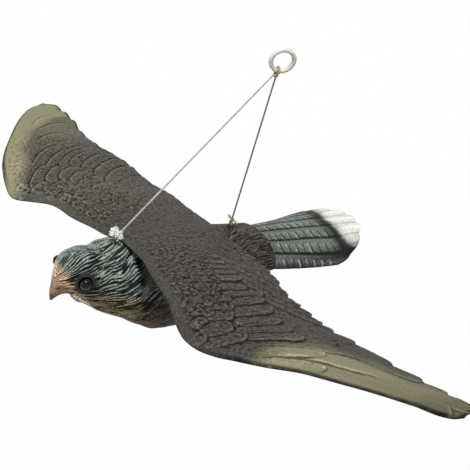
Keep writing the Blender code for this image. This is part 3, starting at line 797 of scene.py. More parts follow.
@dataclass
class Trunk:
    """The body: head, back and rump as one moulding, throat, breast and belly as another."""

    sections: tuple[tuple[float, ...], ...] = (
        (-0.0563, -0.0510, 0.0008, 0.0008, 0.0008, 82),
        (-0.0548, -0.0455, 0.0034, 0.0042, 0.0044, 72),
        (-0.0515, -0.0395, 0.0066, 0.0080, 0.0112, 56),
        (-0.0464, -0.0337, 0.0128, 0.0150, 0.0235, 38),
        (-0.0400, -0.0300, 0.0186, 0.0218, 0.0252, 18),
        (-0.0300, -0.0285, 0.0222, 0.0222, 0.0265, 5),
        (-0.0180, -0.0310, 0.0252, 0.0218, 0.0290, 0),
        (-0.0040, -0.0350, 0.0300, 0.0302, 0.0320, 0),
        (0.0120, -0.0390, 0.0345, 0.0350, 0.0338, 0),
        (0.0350, -0.0435, 0.0385, 0.0390, 0.0405, 0),
        (0.0620, -0.0450, 0.0395, 0.0400, 0.0485, 0),
        (0.0920, -0.0420, 0.0375, 0.0365, 0.0455, 0),
        (0.1200, -0.0375, 0.0345, 0.0308, 0.0320, 0),
        (0.1450, -0.0340, 0.0330, 0.0242, 0.0190, 0),
        (0.1630, -0.0345, 0.0332, 0.0230, 0.0095, 0),
        (0.1710, -0.0345, 0.0334, 0.0226, 0.0070, 0),
    )
    squareness: float = 2.15
    parting: float = 0.74
    chin_section: float = 3.0
    upper_steps: int = 250
    lower_steps: int = 64
    eye_aim: tuple[float, float, float] = (0.80, -0.53, 0.28)
    eye_from: tuple[float, float, float] = (0.0, -0.0273, -0.0338)
    eye_radius: float = 0.0055
    eye_height: float = 0.0064
    eye_seat: float = 0.0008
    strand_width: float = 0.0023
    strand_depth: float = 0.00110
    hump_back: float = 0.1326
    hump_top: float = -0.0046
    noise: Grain = field(default_factory=lambda: Grain(11))

    def value(self, column: int, place: Array | float) -> Array:
        """One column of the sections at places counted in sections."""
        return smooth([(k, section[column]) for k, section in enumerate(self.sections)], place)

    def shell(self, place: Array, angle: Array) -> Array:
        """Points of the plain outer surface.

        Args:
            place: Places along the body, counted in sections.
            angle: Angles round the body, from its left side over its back.

        Returns:
            Bird points with one more axis than the arguments.
        """
        back, up, half, rise, drop, lean = (self.value(column, place) for column in range(6))
        lean = np.radians(lean)
        c, s = np.cos(angle), np.sin(angle)
        power = 2 / self.squareness
        x = half * np.sign(c) * np.abs(c) ** power
        h = np.where(s > 0, rise, drop) * np.sign(s) * np.abs(s) ** power
        return np.stack([x, back - h * np.sin(lean), up + h * np.cos(lean)], axis=-1)

    def back_height(self, x: Array, y: Array) -> Array:
        """Height of the plain back under a place, or far below where there is none."""
        places = np.linspace(6.0, len(self.sections) - 1.0, 400)
        place = np.interp(y, self.value(0, places), places)
        half, rise, up = self.value(2, place), self.value(3, place), self.value(1, place)
        share = np.abs(x) / half
        inside = (share < 1) & (y < 0.171) & (y > -0.018)
        rest = np.clip(1 - share**self.squareness, 0.0, 1.0)
        return np.where(inside, up + rise * rest ** (1 / self.squareness), -1.0)

    def rows(self) -> Array:
        """Places of the grid's rows, closer together on the head, neck and rump."""
        fine = np.linspace(0.0, len(self.sections) - 1.0, 6000)
        line = self.shell(fine, np.full_like(fine, math.pi / 3))
        length = np.linalg.norm(np.diff(line, axis=0), axis=1)
        middle = 0.5 * (fine[1:] + fine[:-1])
        step = 0.00058 + 0.0010 * ramp(8.6, 9.4, middle) * ramp(11.6, 11.0, middle)
        count = np.concatenate([[0.0], np.cumsum(length / step)])
        return np.interp(np.linspace(0.0, count[-1], int(count[-1]) + 1), count, fine)

    def seam_angle(self) -> float:
        """How far below the left side the joint between the shells runs."""
        return math.asin(self.parting ** (self.squareness / 2))

    def eye_place(self, side: Side) -> tuple[Vector, Vector]:
        """The eye's aim and the middle of its flat back."""
        aim = Vector((side.value * self.eye_aim[0], self.eye_aim[1], self.eye_aim[2])).normalized()
        start = Vector(self.eye_from)
        places = np.linspace(2.5, 7.5, 220)[:, None]
        angles = np.linspace(-1.0, 1.2, 260)[None, :]
        if side is Side.RIGHT:
            angles = math.pi - angles
        points = self.shell(places, angles).reshape(-1, 3) - np.array(start)
        along = points @ np.array(aim)
        off = np.linalg.norm(points - along[:, None] * np.array(aim), axis=1)
        nearest = np.argsort(np.where(along > 0, off, 1.0))[:12]
        skin = start + aim * float(np.mean(along[nearest]))
        return aim, skin - aim * self.eye_seat

    def relief(self, points: Array, place: Array, angle: Array) -> tuple[Array, Masks]:
        """Height of the moulded plumage above the plain surface, and the masks that the finish reads.

        Args:
            points: Grid of plain points.
            place: Their places along the body.
            angle: Their angles round it.

        Returns:
            Heights, and masks by name.
        """
        x, y, z = points[..., 0], points[..., 1], points[..., 2]
        turn = np.abs((angle + math.pi / 2 + math.pi) % (2 * math.pi) - math.pi)
        girth = 0.5 * (self.value(2, place) + self.value(3, place))
        around = turn * girth
        step = np.linalg.norm(np.diff(points[:, points.shape[1] // 3], axis=0), axis=1)
        along = np.concatenate([[0.0], np.cumsum(step)])[:, None] * np.ones_like(x)
        noise = self.noise

        lane, run = self._lie(x, y, z)
        lane = lane + 0.0012 * noise(run / 0.013, lane / 0.010)
        hair, groove = self._strands(lane, run, self.strand_width, 1.5)

        eye_off, gape, nostril, brow = self._face_distances(points)
        head = ramp(2.0, 2.7, place) * ramp(10.6, 8.8, place)
        smooth_patch = ramp(0.0105, 0.0066, eye_off)
        rump_on = ramp(11.2, 12.2, place)
        belly_on = ramp(10.0, 10.8, place) * (1 - rump_on)
        strands_on = np.maximum(head * (1 - smooth_patch), 0.6 * ramp(8.8, 10.6, place) * (1 - rump_on))
        rump, rump_groove = self._strands(around + 0.5, y + 0.5, 0.8 * self.strand_width, 1.1)
        scale = np.abs(np.sin(math.pi * (y / 0.011 + 0.5 * np.floor(around / 0.009))))
        height = self.strand_depth * (hair - 0.6) * strands_on
        height += self.strand_depth * (rump - 0.6) * rump_on + 0.0003 * (scale - 0.5) * belly_on
        covered = self.covered(x, y, z)
        near_wing = ramp(-0.006, 0.002, y) * ramp(0.125, 0.119, y) * ramp(-0.040, -0.030, z)
        height = (height - 0.0005 * near_wing) * (1 - covered)

        height += 0.0009 * noise(run / 0.009, around / 0.008) * ramp(1.25, 0.8, turn) * ramp(4.5, 6.0, place)
        height += 0.00075 * hill(eye_off, self.eye_radius + 0.0009, 0.0009)
        height -= 0.0010 * ramp(self.eye_radius + 0.0004, self.eye_radius - 0.0006, eye_off)
        height += 0.0007 * brow
        height -= 0.0009 * gape + 0.0011 * nostril
        hump_off = np.hypot(x, y - self.hump_back)
        lift = self.hump_top - (self.value(1, place) + self.value(3, place))
        height += np.where(z > -0.03, lift * ramp(0.0078, 0.0030, hump_off), 0.0)

        # Painted shade: the strand grooves are darker on the lower head, which lies in shade.
        groove = np.clip(groove * (1.05 + 0.75 * ramp(-0.012, -0.024, z)), 0.0, 1.0)
        groove = groove * (1 - 0.55 * ramp(0.009, 0.003, np.abs(x)) * ramp(6.0, 5.0, place))
        recess = groove * strands_on + 0.9 * rump_groove * rump_on
        # Painted shade under the beak, on the neck under the wings' front edges and in the crease round the
        # eye.
        jaw_and_neck_shade = 0.9 * ramp(1.40, 1.00, turn) * ramp(2.9, 2.5, place)
        jaw_and_neck_shade = np.maximum(jaw_and_neck_shade, 0.40 * ramp(0.001, 0.014, y) * ramp(0.05, 0.03, y) * ramp(-0.016, -0.026, z))
        recess = np.maximum(recess, np.maximum(np.maximum(gape, nostril), jaw_and_neck_shade))
        recess = np.maximum(recess, hill(eye_off, self.eye_radius + 0.0001, 0.0006))
        # Painted highlights on the strands' crests and the rump's ridges.
        ridge = ramp(0.62, 0.98, hair) * strands_on + 0.5 * ramp(0.7, 0.98, rump) * rump_on
        masks = {
            "recess": recess * (1 - covered),
            "ridge": ridge * (1 - covered),
            "tone": noise(along / 0.02, around / 0.012 + 20),
            "barb": lane / 0.0011,
            "hatch": np.zeros_like(x),
        }
        masks.update(self._colour_zones(points, place, turn, eye_off, gape))
        return height, masks

    @staticmethod
    def _lie(x: Array, y: Array, z: Array) -> tuple[Array, Array]:
        """How far across and how far along the head's strands a place lies, where they rise to the back."""
        about = 0.026 * np.arctan2(z + 0.036, np.abs(x) + 0.004)
        backs = np.linspace(-0.07, 0.18, 250)
        climb = np.cumsum(0.27 + 0.40 * ramp(-0.012, 0.018, backs)) * (backs[1] - backs[0])
        return about - np.interp(y, backs, climb), y + 0.25 * z

    def _strands(
        self, across: Array, along: Array, width: float, rough: float = 1.3,
    ) -> tuple[Array, Array]:
        """Wavy strands that run along a direction, split and join: how high they stand, and their grooves."""
        noise = self.noise
        lane = across / width + 0.70 * noise(across / (2.4 * width), along / (5.0 * width))
        lane = lane + 0.22 * noise(across / width + 17, along / (2.2 * width) + 5)
        ripple = noise(across / (0.6 * width) + 40, along / (3.4 * width) + 9)
        wave = np.sin(2 * math.pi * lane) + rough * ripple
        stand = ramp(-0.85, 0.95, wave)
        return stand, ramp(0.72, 0.22, stand)

    def covered(self, x: Array, y: Array, z: Array) -> Array:
        """How far a place lies under the wings' roots, where the moulding is plain."""
        return ramp(0.010, 0.018, y) * ramp(0.119, 0.110, y) * ramp(-0.036, -0.027, z)

    def _face_distances(self, points: Array) -> tuple[Array, Array, Array, Array]:
        """Distance to the nearer eye's axis, and hills along the gape, at the nostrils and on the brows."""
        x, y, z = np.abs(points[..., 0]), points[..., 1], points[..., 2]
        eye_off, brow = np.full_like(x, 0.05), np.zeros_like(x)
        for side in Side:
            aim, seat = self.eye_place(side)
            away = points - np.array(seat)
            along = away @ np.array(aim)
            aside = np.linalg.norm(away - along[..., None] * np.array(aim), axis=-1)
            off = np.where(along > -0.008, aside, 0.05)
            eye_off = np.minimum(eye_off, off)
            upper = away @ np.array((0.0, 0.35, 0.94))
            brow = np.maximum(brow, hill(off, self.eye_radius + 0.0026, 0.0016) * ramp(0.001, 0.005, upper))
        gape = hill(z, -0.0372 - 0.65 * (y + 0.047), 0.0008)
        gape = gape * ramp(-0.0505, -0.0475, y) * ramp(-0.026, -0.032, y)
        gape = gape * (x > 0.004)
        level = (z + 0.0377 - 0.4 * (y + 0.0553)) / 0.0010
        nostril = np.exp(-(((y + 0.0553) / 0.0015) ** 2) - level**2) * (x > 0.002)
        return eye_off, gape, nostril, brow

    def _colour_zones(self, points: Array, place: Array, turn: Array, eye_off: Array, gape: Array) -> Masks:
        """Airbrush masks of the body's colours."""
        y, z = points[..., 1], points[..., 2]
        cloud = 0.35 * self.noise(points[..., 0] / 0.012, y / 0.012, z / 0.012)
        beak = ramp(3.05, 2.55, place + 0.4 * cloud)
        hook = ramp(1.1, 0.6, place + 0.2 * cloud)
        face = np.maximum(
            ramp(3.5, 2.9, place + 0.7 * cloud), ramp(4.7, 3.9, place) * ramp(1.35, 1.05, turn),
        )
        lip = hill(z, -0.0390 - 0.65 * (y + 0.047), 0.0008)
        lip = lip * ramp(-0.0495, -0.0465, y) * ramp(-0.014, -0.030, y)
        eye_patch = ramp(0.0165, 0.0080, eye_off + 0.006 * cloud)
        low = z + 0.15 * (y + 0.025) + 0.012 * cloud
        throat = ramp(-0.033, -0.042, low) * ramp(3.2, 4.0, place)
        breast = ramp(0.004, 0.026, y + 0.03 * cloud) * ramp(-0.033, -0.043, low)
        rump = ramp(10.5, 11.5, place)
        return {
            "beak": beak, "hook": hook, "face": face, "lip": lip, "eye_patch": eye_patch,
            "throat": throat, "breast": np.maximum(breast * (1 - rump), 0), "rump": rump,
        }

    def build(self) -> tuple[Piece, Piece]:
        """Build both shells.

        Returns:
            The upper and the lower moulding.
        """
        rows = self.rows()
        seam = self.seam_angle()
        upper = np.linspace(-seam, math.pi + seam, self.upper_steps + 1)
        lower = np.linspace(math.pi + seam, 2 * math.pi - seam, self.lower_steps + 1)
        angles = np.concatenate([upper, lower[1:]])
        place, angle = np.meshgrid(rows, angles, indexing="ij")
        plain = self.shell(place, angle)
        normal = surface_normals(plain)
        outward = np.sum(normal * (plain - plain.mean(axis=1, keepdims=True)), axis=2, keepdims=True)
        normal = np.where(np.median(outward) > 0, normal, -normal)
        normal[:, -1] = normal[:, 0]
        height, masks = self.relief(plain, place, angle)
        tip_fade = ramp(0.3, 1.2, place)
        bead = hill(np.abs(angle - math.pi / 2), math.pi / 2 + seam, 0.03) * ramp(3.0, 3.3, place)
        height = height * tip_fade + 0.0002 * bead
        # Painted highlight along the raised bead of the shells' joint.
        masks["ridge"] = np.maximum(masks["ridge"], 0.8 * bead)
        points = plain + normal * height[..., None]
        points[:, -1] = points[:, 0]
        count = len(angles)
        chin = int(np.searchsorted(rows, self.chin_section))
        last = len(rows) - 1
        flat = points.reshape(-1, 3)

        def number(row: int, column: int) -> int:
            """Point number of a row and a column, where the last column is the first one again."""
            return row * count + column % (count - 1)

        turn_left = self._turns_left(points)
        top = self.upper_steps
        back_faces: Faces = []
        belly_faces: Faces = []
        for row in range(last):
            for column in range(count - 1):
                face = (
                    number(row, column), number(row + 1, column),
                    number(row + 1, column + 1), number(row, column + 1),
                )
                face = face if turn_left else face[::-1]
                (back_faces if column < top or row < chin else belly_faces).append(face)
            if row >= chin:
                lid = (number(row, 0), number(row, top), number(row + 1, top), number(row + 1, 0))
                lid = lid if turn_left else lid[::-1]
                back_faces.append(lid)
                belly_faces.append(lid[::-1])
        beak_end = tuple(number(0, c) for c in range(count - 1))
        back_faces.append(beak_end if turn_left else beak_end[::-1])
        chin_arc = tuple(number(chin, c) for c in range(top, count))
        back_faces.append(chin_arc[::-1] if turn_left else chin_arc)
        belly_faces.append(chin_arc if turn_left else chin_arc[::-1])
        rump_top = tuple(number(last, c) for c in range(top + 1))
        back_faces.append(rump_top[::-1] if turn_left else rump_top)
        rump_low = tuple(number(last, c) for c in range(top, count))
        belly_faces.append(rump_low[::-1] if turn_left else rump_low)
        flat_masks = {key: np.asarray(value).ravel() for key, value in masks.items()}
        made = []
        for name, faces in (("back_moulding", back_faces), ("belly_moulding", belly_faces)):
            made.append(self._piece(name, flat, faces, flat_masks))
        return made[0], made[1]

    @staticmethod
    def _turns_left(points: Array) -> bool:
        """Whether the grid's faces (row, next row) turn left as seen from outside."""
        row, column = points.shape[0] // 2, points.shape[1] // 4
        a, b, d = points[row, column], points[row + 1, column], points[row, column + 1]
        return float(np.dot(np.cross(b - a, d - a), a - points[row].mean(axis=0))) > 0

    @staticmethod
    def _piece(name: str, points: Array, faces: Faces, masks: Masks) -> Piece:
        """Make a piece of only those points that its faces use."""
        quads = np.array([face for face in faces if len(face) == 4]).ravel()
        used = np.unique(np.concatenate([np.array(face) for face in faces[-3:]] + [quads]))
        fresh = np.full(len(points), -1)
        fresh[used] = np.arange(len(used))
        renamed = [tuple(int(fresh[i]) for i in f) for f in faces]
        return skin_object(name, points[used], renamed, {key: value[used] for key, value in masks.items()})


@dataclass
class Eye:
    """A glossy dome set in the head."""

    trunk: Trunk
    side: Side
    rings: int = 20
    turns: int = 48

    def build(self) -> Piece:
        """Build the dome, a little flattened, with a rounded foot under the eyelid."""
        aim, seat = self.trunk.eye_place(self.side)
        across = aim.cross(Vector((0, 0, 1))).normalized()
        upward = across.cross(aim)
        radius, tall = self.trunk.eye_radius, self.trunk.eye_height
        profile = [(0.0, -0.001), (radius * 0.9, -0.001), (radius, -0.0002)]
        for k in range(self.rings + 1):
            a = math.pi / 2 * k / self.rings
            profile.append((radius * math.cos(a), tall * math.sin(a)))
        points, iris = [], []
        for r, h in profile:
            for i in range(self.turns):
                b = 2 * math.pi * i / self.turns
                points.append(seat + aim * (h + 0.0003) + r * (math.cos(b) * across + math.sin(b) * upward))
                iris.append(float(hill(r / radius, 0.62, 0.2)))
        faces = []
        for k in range(len(profile) - 1):
            for i in range(self.turns):
                n = (i + 1) % self.turns
                faces.append(
                    (
                        k * self.turns + i, k * self.turns + n,
                        (k + 1) * self.turns + n, (k + 1) * self.turns + i,
                    )
                )
        made = skin_object(f"{self.side.word}_eye_dome", np.array(points), faces, {"iris": np.array(iris)})
        weld(made)
        return made


def weld(piece: Piece) -> None:
    """Merge a piece's doubled points and turn its faces outwards."""
    work = bmesh.new()
    work.from_mesh(piece.data)
    bmesh.ops.remove_doubles(work, verts=work.verts, dist=1e-6)
    bmesh.ops.recalc_face_normals(work, faces=work.faces)
    work.to_mesh(piece.data)
    work.free()
    piece.data.shade_smooth()


@dataclass
class Wing:
    """A wing: a crowned blade with moulded feathers on both sides."""

    side: Side
    trunk: Trunk
    span: float = 0.2970
    leading: tuple[tuple[float, float, float], ...] = (
        (0.0000, 0.0050, -0.0020), (0.0300, 0.0030, -0.0045),
        (0.0620, -0.0070, -0.0070), (0.0820, -0.0095, -0.0105),
        (0.1000, -0.0140, -0.0155), (0.1220, -0.0185, -0.0220),
        (0.1360, -0.0150, -0.0245), (0.1500, -0.0105, -0.0225),
        (0.1680, -0.0030, -0.0175), (0.1850, 0.0080, -0.0140),
        (0.2120, 0.0320, -0.0095), (0.2380, 0.0560, -0.0093),
        (0.2720, 0.0910, -0.0120), (0.2870, 0.1070, -0.0150),
        (0.2940, 0.1180, -0.0157), (0.2970, 0.1275, -0.0150),
    )
    trailing: tuple[tuple[float, float, float], ...] = (
        (0.0000, 0.1130, -0.0035), (0.0100, 0.1190, -0.0045),
        (0.0460, 0.1265, -0.0090), (0.0700, 0.1260, -0.0093),
        (0.1000, 0.1150, -0.0093), (0.1300, 0.1110, -0.0093),
        (0.1500, 0.1085, -0.0098), (0.1680, 0.1090, -0.0105),
        (0.1840, 0.1150, -0.0110), (0.2180, 0.1245, -0.0107),
        (0.2440, 0.1335, -0.0112), (0.2680, 0.1395, -0.0113),
        (0.2880, 0.1425, -0.0120), (0.2970, 0.1390, -0.0133),
    )
    feather_ends: tuple[float, ...] = (
        0.0002, 0.014, 0.032, 0.050, 0.070, 0.088, 0.106, 0.124,
        0.140, 0.154, 0.167, 0.187, 0.222, 0.248, 0.271, 0.2970,
    )
    fingers: tuple[tuple[float, ...], ...] = (
        (147, 16, 170.5, 66.7, 14.6), (139, 20, 154.7, 67.3, 14.5),
        (130, 25, 139.3, 69.5, 15.5), (117, 26, 122.0, 75.1, 15.3),
        (106.6, 32, 107.4, 79.2, 12.5), (96.5, 40, 100.7, 84.4, 11.0), (88.3, 40, 91.3, 71.8, 9.5),
    )
    knuckles: tuple[tuple[float, ...], ...] = (
        (126, -19, 133.1, -6.6, 11), (138, -11, 148.2, 22.3, 17),
        (116.5, -10, 121.2, 4.1, 12), (126.5, -7, 133.1, 20.5, 16),
        (116, 3, 121.7, 29.8, 13), (110.3, 4, 113.8, 15.6, 12),
        (107, 15, 113.1, 38.2, 10), (105, -1, 110.4, 6.7, 10),
        (100.4, 11, 103.2, 21.2, 10), (98, 25, 103.4, 42.9, 9),
        (97, 6, 100.9, 13.8, 9), (90, 19, 93.8, 31.3, 10),
    )
    crown: Points = (
        (0.0, 0.0040), (0.04, 0.0070), (0.12, 0.0120), (0.18, 0.0085), (0.24, 0.0045), (0.3, 0.0020),
    )
    thick: Points = ((0.0, 0.0060), (0.03, 0.0050), (0.06, 0.0040), (0.16, 0.0036), (0.3, 0.0024))
    relief: float = 1.35
    far_relief: float = 0.95
    relief_middle: float = 0.0010
    lobe: float = 0.0036
    nose: float = 0.10
    rear_share: float = 0.55
    least: float = 0.0012
    span_steps: int = 460
    chord_steps: int = 184
    under_steps: int = 26

    def lifts(self) -> tuple[Points, Points]:
        """How the front and rear edges are lifted along the span on this side."""
        if self.side is Side.LEFT:
            front = ((0.0, 0.0), (0.06, 0.002), (0.085, 0.0015), (0.105, -0.001), (0.14, 0.0), (0.3, 0.0))
            rear = (
                (0.0, 0.0), (0.06, -0.0025), (0.11, -0.0035), (0.18, 0.0), (0.235, -0.002), (0.29, 0.0015),
            )
        else:
            front = (
                (0.0, -0.0005), (0.025, -0.0045), (0.05, -0.0035),
                (0.08, 0.0005), (0.125, -0.002), (0.2, 0.0), (0.25, -0.0005), (0.297, -0.0040),
            )
            rear = (
                (0.0, 0.0), (0.045, -0.001), (0.08, 0.0015), (0.15, 0.009),
                (0.175, 0.006), (0.21, -0.001), (0.25, -0.0015), (0.297, -0.0040),
            )
        return front, rear

    def front(self, out: Array | float) -> Array:
        """Leading edge's place at distances out."""
        return smooth([(p[0], p[1]) for p in self.leading], out)

    def rear(self, out: Array | float) -> Array:
        """Line through the trailing feathers' tips at distances out."""
        return smooth([(p[0], p[1]) for p in self.trailing], out)

    def lobes(self, out: Array) -> Array:
        """How far the trailing edge lies in front of that line, feather by feather."""
        ends = np.array(self.feather_ends)
        k = np.clip(np.searchsorted(ends, out, side="right") - 1, 0, len(ends) - 2)
        share = np.clip((out - ends[k]) / (ends[k + 1] - ends[k]), 0.0, 1.0)
        rising = np.clip(1 - share / 0.8, 0.0, 1.0) ** 1.6
        falling = np.clip((share - 0.8) / 0.2, 0.0, 1.0) ** 2
        deep = self.lobe * (1.0 if self.side is Side.LEFT else 0.12 + 0.88 * ramp(0.19, 0.23, out))
        return deep * np.where(share < 0.8, rising, falling) * np.clip(out / 0.02, 0.0, 1.0)

    def feathers(self) -> FeatherBed:
        """Lay the wing's feathers, from the long ones at the rear to the scales near the front."""
        bed = FeatherBed((-0.004, -0.03), (0.304, 0.152))
        chance = np.random.default_rng(5 if self.side is Side.LEFT else 6)
        hand, rows, curls = self._left_layout() if self.side is Side.LEFT else self._right_layout()
        for feather in hand[0]:
            bed.lay(feather)
        for row in rows:
            for feather in self._row(row, chance):
                bed.lay(feather)
        for feather in hand[1]:
            bed.lay(feather)
        for feather in self._curls(curls, chance):
            bed.lay(feather)
        x, y = bed.x[:, None], bed.y[None, :]
        noise = Grain(41)
        lump = 0.00014 * noise(x / 0.0052, y / 0.0052) + 0.00038 * noise(x / 0.0022 + 9, y / 0.0022)
        lump = lump * (1 - 0.7 * (ramp(0.165, 0.20, x) if self.side is Side.LEFT else ramp(0.19, 0.24, x)))
        stripe = noise((x + 0.3 * y) / 0.0020, (y - 0.3 * x) / 0.009)
        inner = 0.30 + 0.70 * ramp(0.010, 0.045, x)
        for grid in (bed.height, bed.shade, bed.light):
            grid *= inner
        brow = hill(y, 0.011 + self.front(x), 0.0011) * ramp(0.05, 0.09, x) * ramp(0.155, 0.13, x)
        lump = lump + 0.0006 * brow * (0.6 + noise(x / 0.007, y / 0.007 + 3))
        scale = self.relief if self.side is Side.LEFT else self.far_relief
        bed.settle(scale, lump + 0.00020 * stripe * ramp(0.085, 0.03, x))
        return bed

    @staticmethod
    def _long(
        root: tuple[float, float], tip: tuple[float, float], width: float, **relief: float,
    ) -> Feather:
        """A feather from its root to its tip."""
        run = (tip[0] - root[0], tip[1] - root[1])
        return Feather(root, math.atan2(run[0], run[1]), math.hypot(*run), width, **relief)

    @staticmethod
    def _spot(place: tuple[float, ...], **relief: float) -> Feather:
        """A feather given by its root, its tip and its width in millimetres."""
        x0, y0, x1, y1, width = (value / 1000 for value in place)
        return Wing._long((x0, y0), (x1, y1), width, **relief)

    def _left_layout(self) -> tuple[tuple[list[Feather], list[Feather]], list[FeatherRow], int]:
        """Feathers of the left wing: those of the hand below and above the rows, the rows, and loose curls."""
        flat = dict(lift=0.0005, crown=0.0003, tilt=0.0002, rim=0.0, fade=0.9, outline=0.25)
        tube = dict(
            lift=0.0008, crown=0.0013, tilt=0.0005,
            fade=0.35, outline=0.5, line=0.0011, shine=0.3, blunt=1.5,
        )
        under = [
            self._long(
                (0.190, 0.012), (0.2915, 0.1170), 0.024, lift=0.0012, crown=0.0008, tilt=0.0, pitch=0.0027,
            ),
            self._long((0.165, 0.030), (0.2960, 0.1425), 0.020, **flat),
            self._edged(
                (200, 36.3, 266, 126, 27), lift=0.0004, crown=0.0010,
                tilt=0.0009, fade=0.12, melt=0.95, outline=0.65, line=0.0015,
            ),
            self._long((0.140, 0.050), (0.2465, 0.1345), 0.024, **flat),
            self._long((0.125, 0.065), (0.2205, 0.1255), 0.024, **flat),
            self._long((0.115, 0.075), (0.186, 0.1135), 0.024, **flat),
        ]
        finger = dict(
            lift=0.0007, crown=0.0008, tilt=0.0004, line=0.0013,
            heel=0.25, blunt=2.2, streak=0.00016, outline=1.0, shine=0.2,
        )
        knuckle = dict(
            lift=0.0006, crown=0.0006, tilt=0.0004, line=0.0011,
            heel=0.45, curl=0.00030, streak=0.00012, outline=0.75, shine=0.2,
        )
        above = [
            self._long((0.172, 0.000), (0.2150, 0.0466), 0.0115, **tube),
            self._long((0.166, 0.002), (0.1976, 0.0618), 0.0150, **tube),
        ]
        above += [self._spot(one, **finger) for one in self.fingers]
        above += [self._spot(one, **knuckle) for one in self.knuckles]
        rows = [
            FeatherRow(
                0.030, 0.168, 0.0078, (1.0, 1.0), (30, 66),
                0.075, 0.0092, 0.0004, 0.0002, 0.0002, 0.0, outline=0.6,
            ),
            FeatherRow(
                0.044, 0.088, 0.0088, (0.62, 0.64), (3, 8),
                0.036, 0.0098, 0.0008, 0.0005, 0.0004, outline=0.55,
            ),
            FeatherRow(
                0.050, 0.100, 0.0100, (0.42, 0.40), (6, 16), 0.024,
                0.0108, 0.0008, 0.0005, 0.0004, outline=0.6, scatter=0.12,
            ),
        ]
        return (under, above), rows, 420

    def _right_layout(self) -> tuple[tuple[list[Feather], list[Feather]], list[FeatherRow], int]:
        """Feathers of the right wing: long bowed ones from the tip inwards, shorter ones, then eyes."""
        long = (
            (217, 58, 262, 131, 48), (206, 55, 238, 126, 30),
            (188, 44, 214, 116, 28), (172, 34, 192, 108, 26),
            (147, 13, 181, 72, 20), (143, 23, 175, 94, 20), (142, 38, 168, 98, 19), (138, 48, 161, 98, 19),
            (128, 55, 152, 104, 18), (112, 57, 140, 110, 18),
            (98, 60, 126, 112, 18), (82, 60, 110, 114, 18),
            (66, 60, 92, 116, 18), (50, 60, 74, 118, 18), (34, 60, 56, 120, 18), (18, 58, 38, 118, 18),
        )
        short = (
            (118, -8, 150, 28, 15), (119, 8, 143, 40, 15), (119, 22, 137, 54, 15), (108, 26, 126, 58, 15),
            (95, 26, 113, 60, 15), (80, 28, 98, 62, 15), (66, 30, 84, 64, 15), (52, 32, 68, 66, 15),
            (104, -10, 122, 6, 12), (98, 4, 114, 24, 12),
            (86, 4, 100, 26, 12), (74, 8, 86, 28, 12), (60, 10, 72, 30, 12),
        )
        eyes = (
            (114, -13), (112, -5), (106, 4), (100, 14), (93, 4),
            (88, -4), (73, 22), (85, 40), (81, 50), (78, 1), (66, 6),
            (128, -8), (124, 2), (56, 22), (62, 36), (97, 42),
            (90, 20), (70, 48), (110, 50), (50, 10), (44, 24),
        )
        under = []
        for place, one in enumerate(long):
            rise = dict(
                tilt=0.0006, rim=0.0002, lift=0.0003,
                fade=0.4 if place < 5 else 0.0, outline=0.6 if place < 1 else 1.0,
            )
            if one[0] < 90:
                rise = dict(tilt=0.0002, rim=0.0001, lift=0.0001, crown=0.0001, outline=0.35)
            under.append(
                self._edged(one, bend=0.0065, heel=0.14, shear=0.15, pitch=0.0042, shine=0.8, **rise)
            )
        scale = dict(heel=0.3, shear=0.15, pitch=0.0040, tilt=0.0007, rim=0.0003, lift=0.0005, shine=0.8)
        under += [self._edged(one, bend=0.0035, **scale) for one in short]
        above = [self._eye(x / 1000, y / 1000, 0.0098 + 0.0012 * math.sin(x)) for x, y in eyes]
        return (under, above), [], 120

    @staticmethod
    def _edged(edge: tuple[float, ...], **relief: float) -> Feather:
        """A feather whose raised outer edge runs between two places, given with its width in millimetres."""
        x0, y0, x1, y1, width = (value / 1000 for value in edge)
        aim = math.atan2(x1 - x0, y1 - y0)
        inward = (-0.5 * width * math.cos(aim), 0.5 * width * math.sin(aim))
        root = (x0 + inward[0], y0 + inward[1])
        return Feather(root, aim, math.hypot(x1 - x0, y1 - y0), width, **relief)

    @staticmethod
    def _eye(x: float, y: float, size: float) -> Feather:
        """A round swirl scale about a place."""
        aim = math.radians(40)
        root = (x - 0.5 * size * math.sin(aim), y - 0.5 * size * math.cos(aim))
        return Feather(
            root, aim, size, size, lift=0.0004, crown=0.0003, curl=0.0004, heel=0.5, blunt=1.0, rim=0.0002,
        )

    def _row(self, row: FeatherRow, chance: np.random.Generator) -> list[Feather]:
        """The feathers of a row."""
        laid = []
        count = int(abs((row.last - row.first) / row.spacing)) + 1
        for k in range(count):
            share = k / max(count - 1, 1)
            out = row.first + k * row.spacing + row.scatter * abs(row.spacing) * chance.uniform(-1, 1)
            chord = row.chord[0] + (row.chord[1] - row.chord[0]) * share
            chord += 0.12 * row.scatter * chance.uniform(-1, 1)
            front, rear = float(self.front(out)), float(self.rear(out))
            tip = (out, front + (rear - front) * chord)
            aim = row.aim[0] + (row.aim[1] - row.aim[0]) * share
            turn = math.radians(aim + 40 * row.scatter * chance.uniform(-1, 1))
            size = 0.72 + 0.28 * float(ramp(0.0, 0.10, out))
            long = row.length * size * (1 + row.scatter * chance.uniform(-1, 1))
            root = (tip[0] - long * math.sin(turn), tip[1] - long * math.cos(turn))
            tone = float(chance.uniform(-1, 1))
            wide = row.width * size * (1 + row.scatter * chance.uniform(-1, 1))
            laid.append(
                Feather(
                    root, turn, long, wide, row.lift, row.crown, row.tilt, row.rim, row.curl, row.heel,
                    outline=row.outline, tone=tone,
                )
            )
        return laid

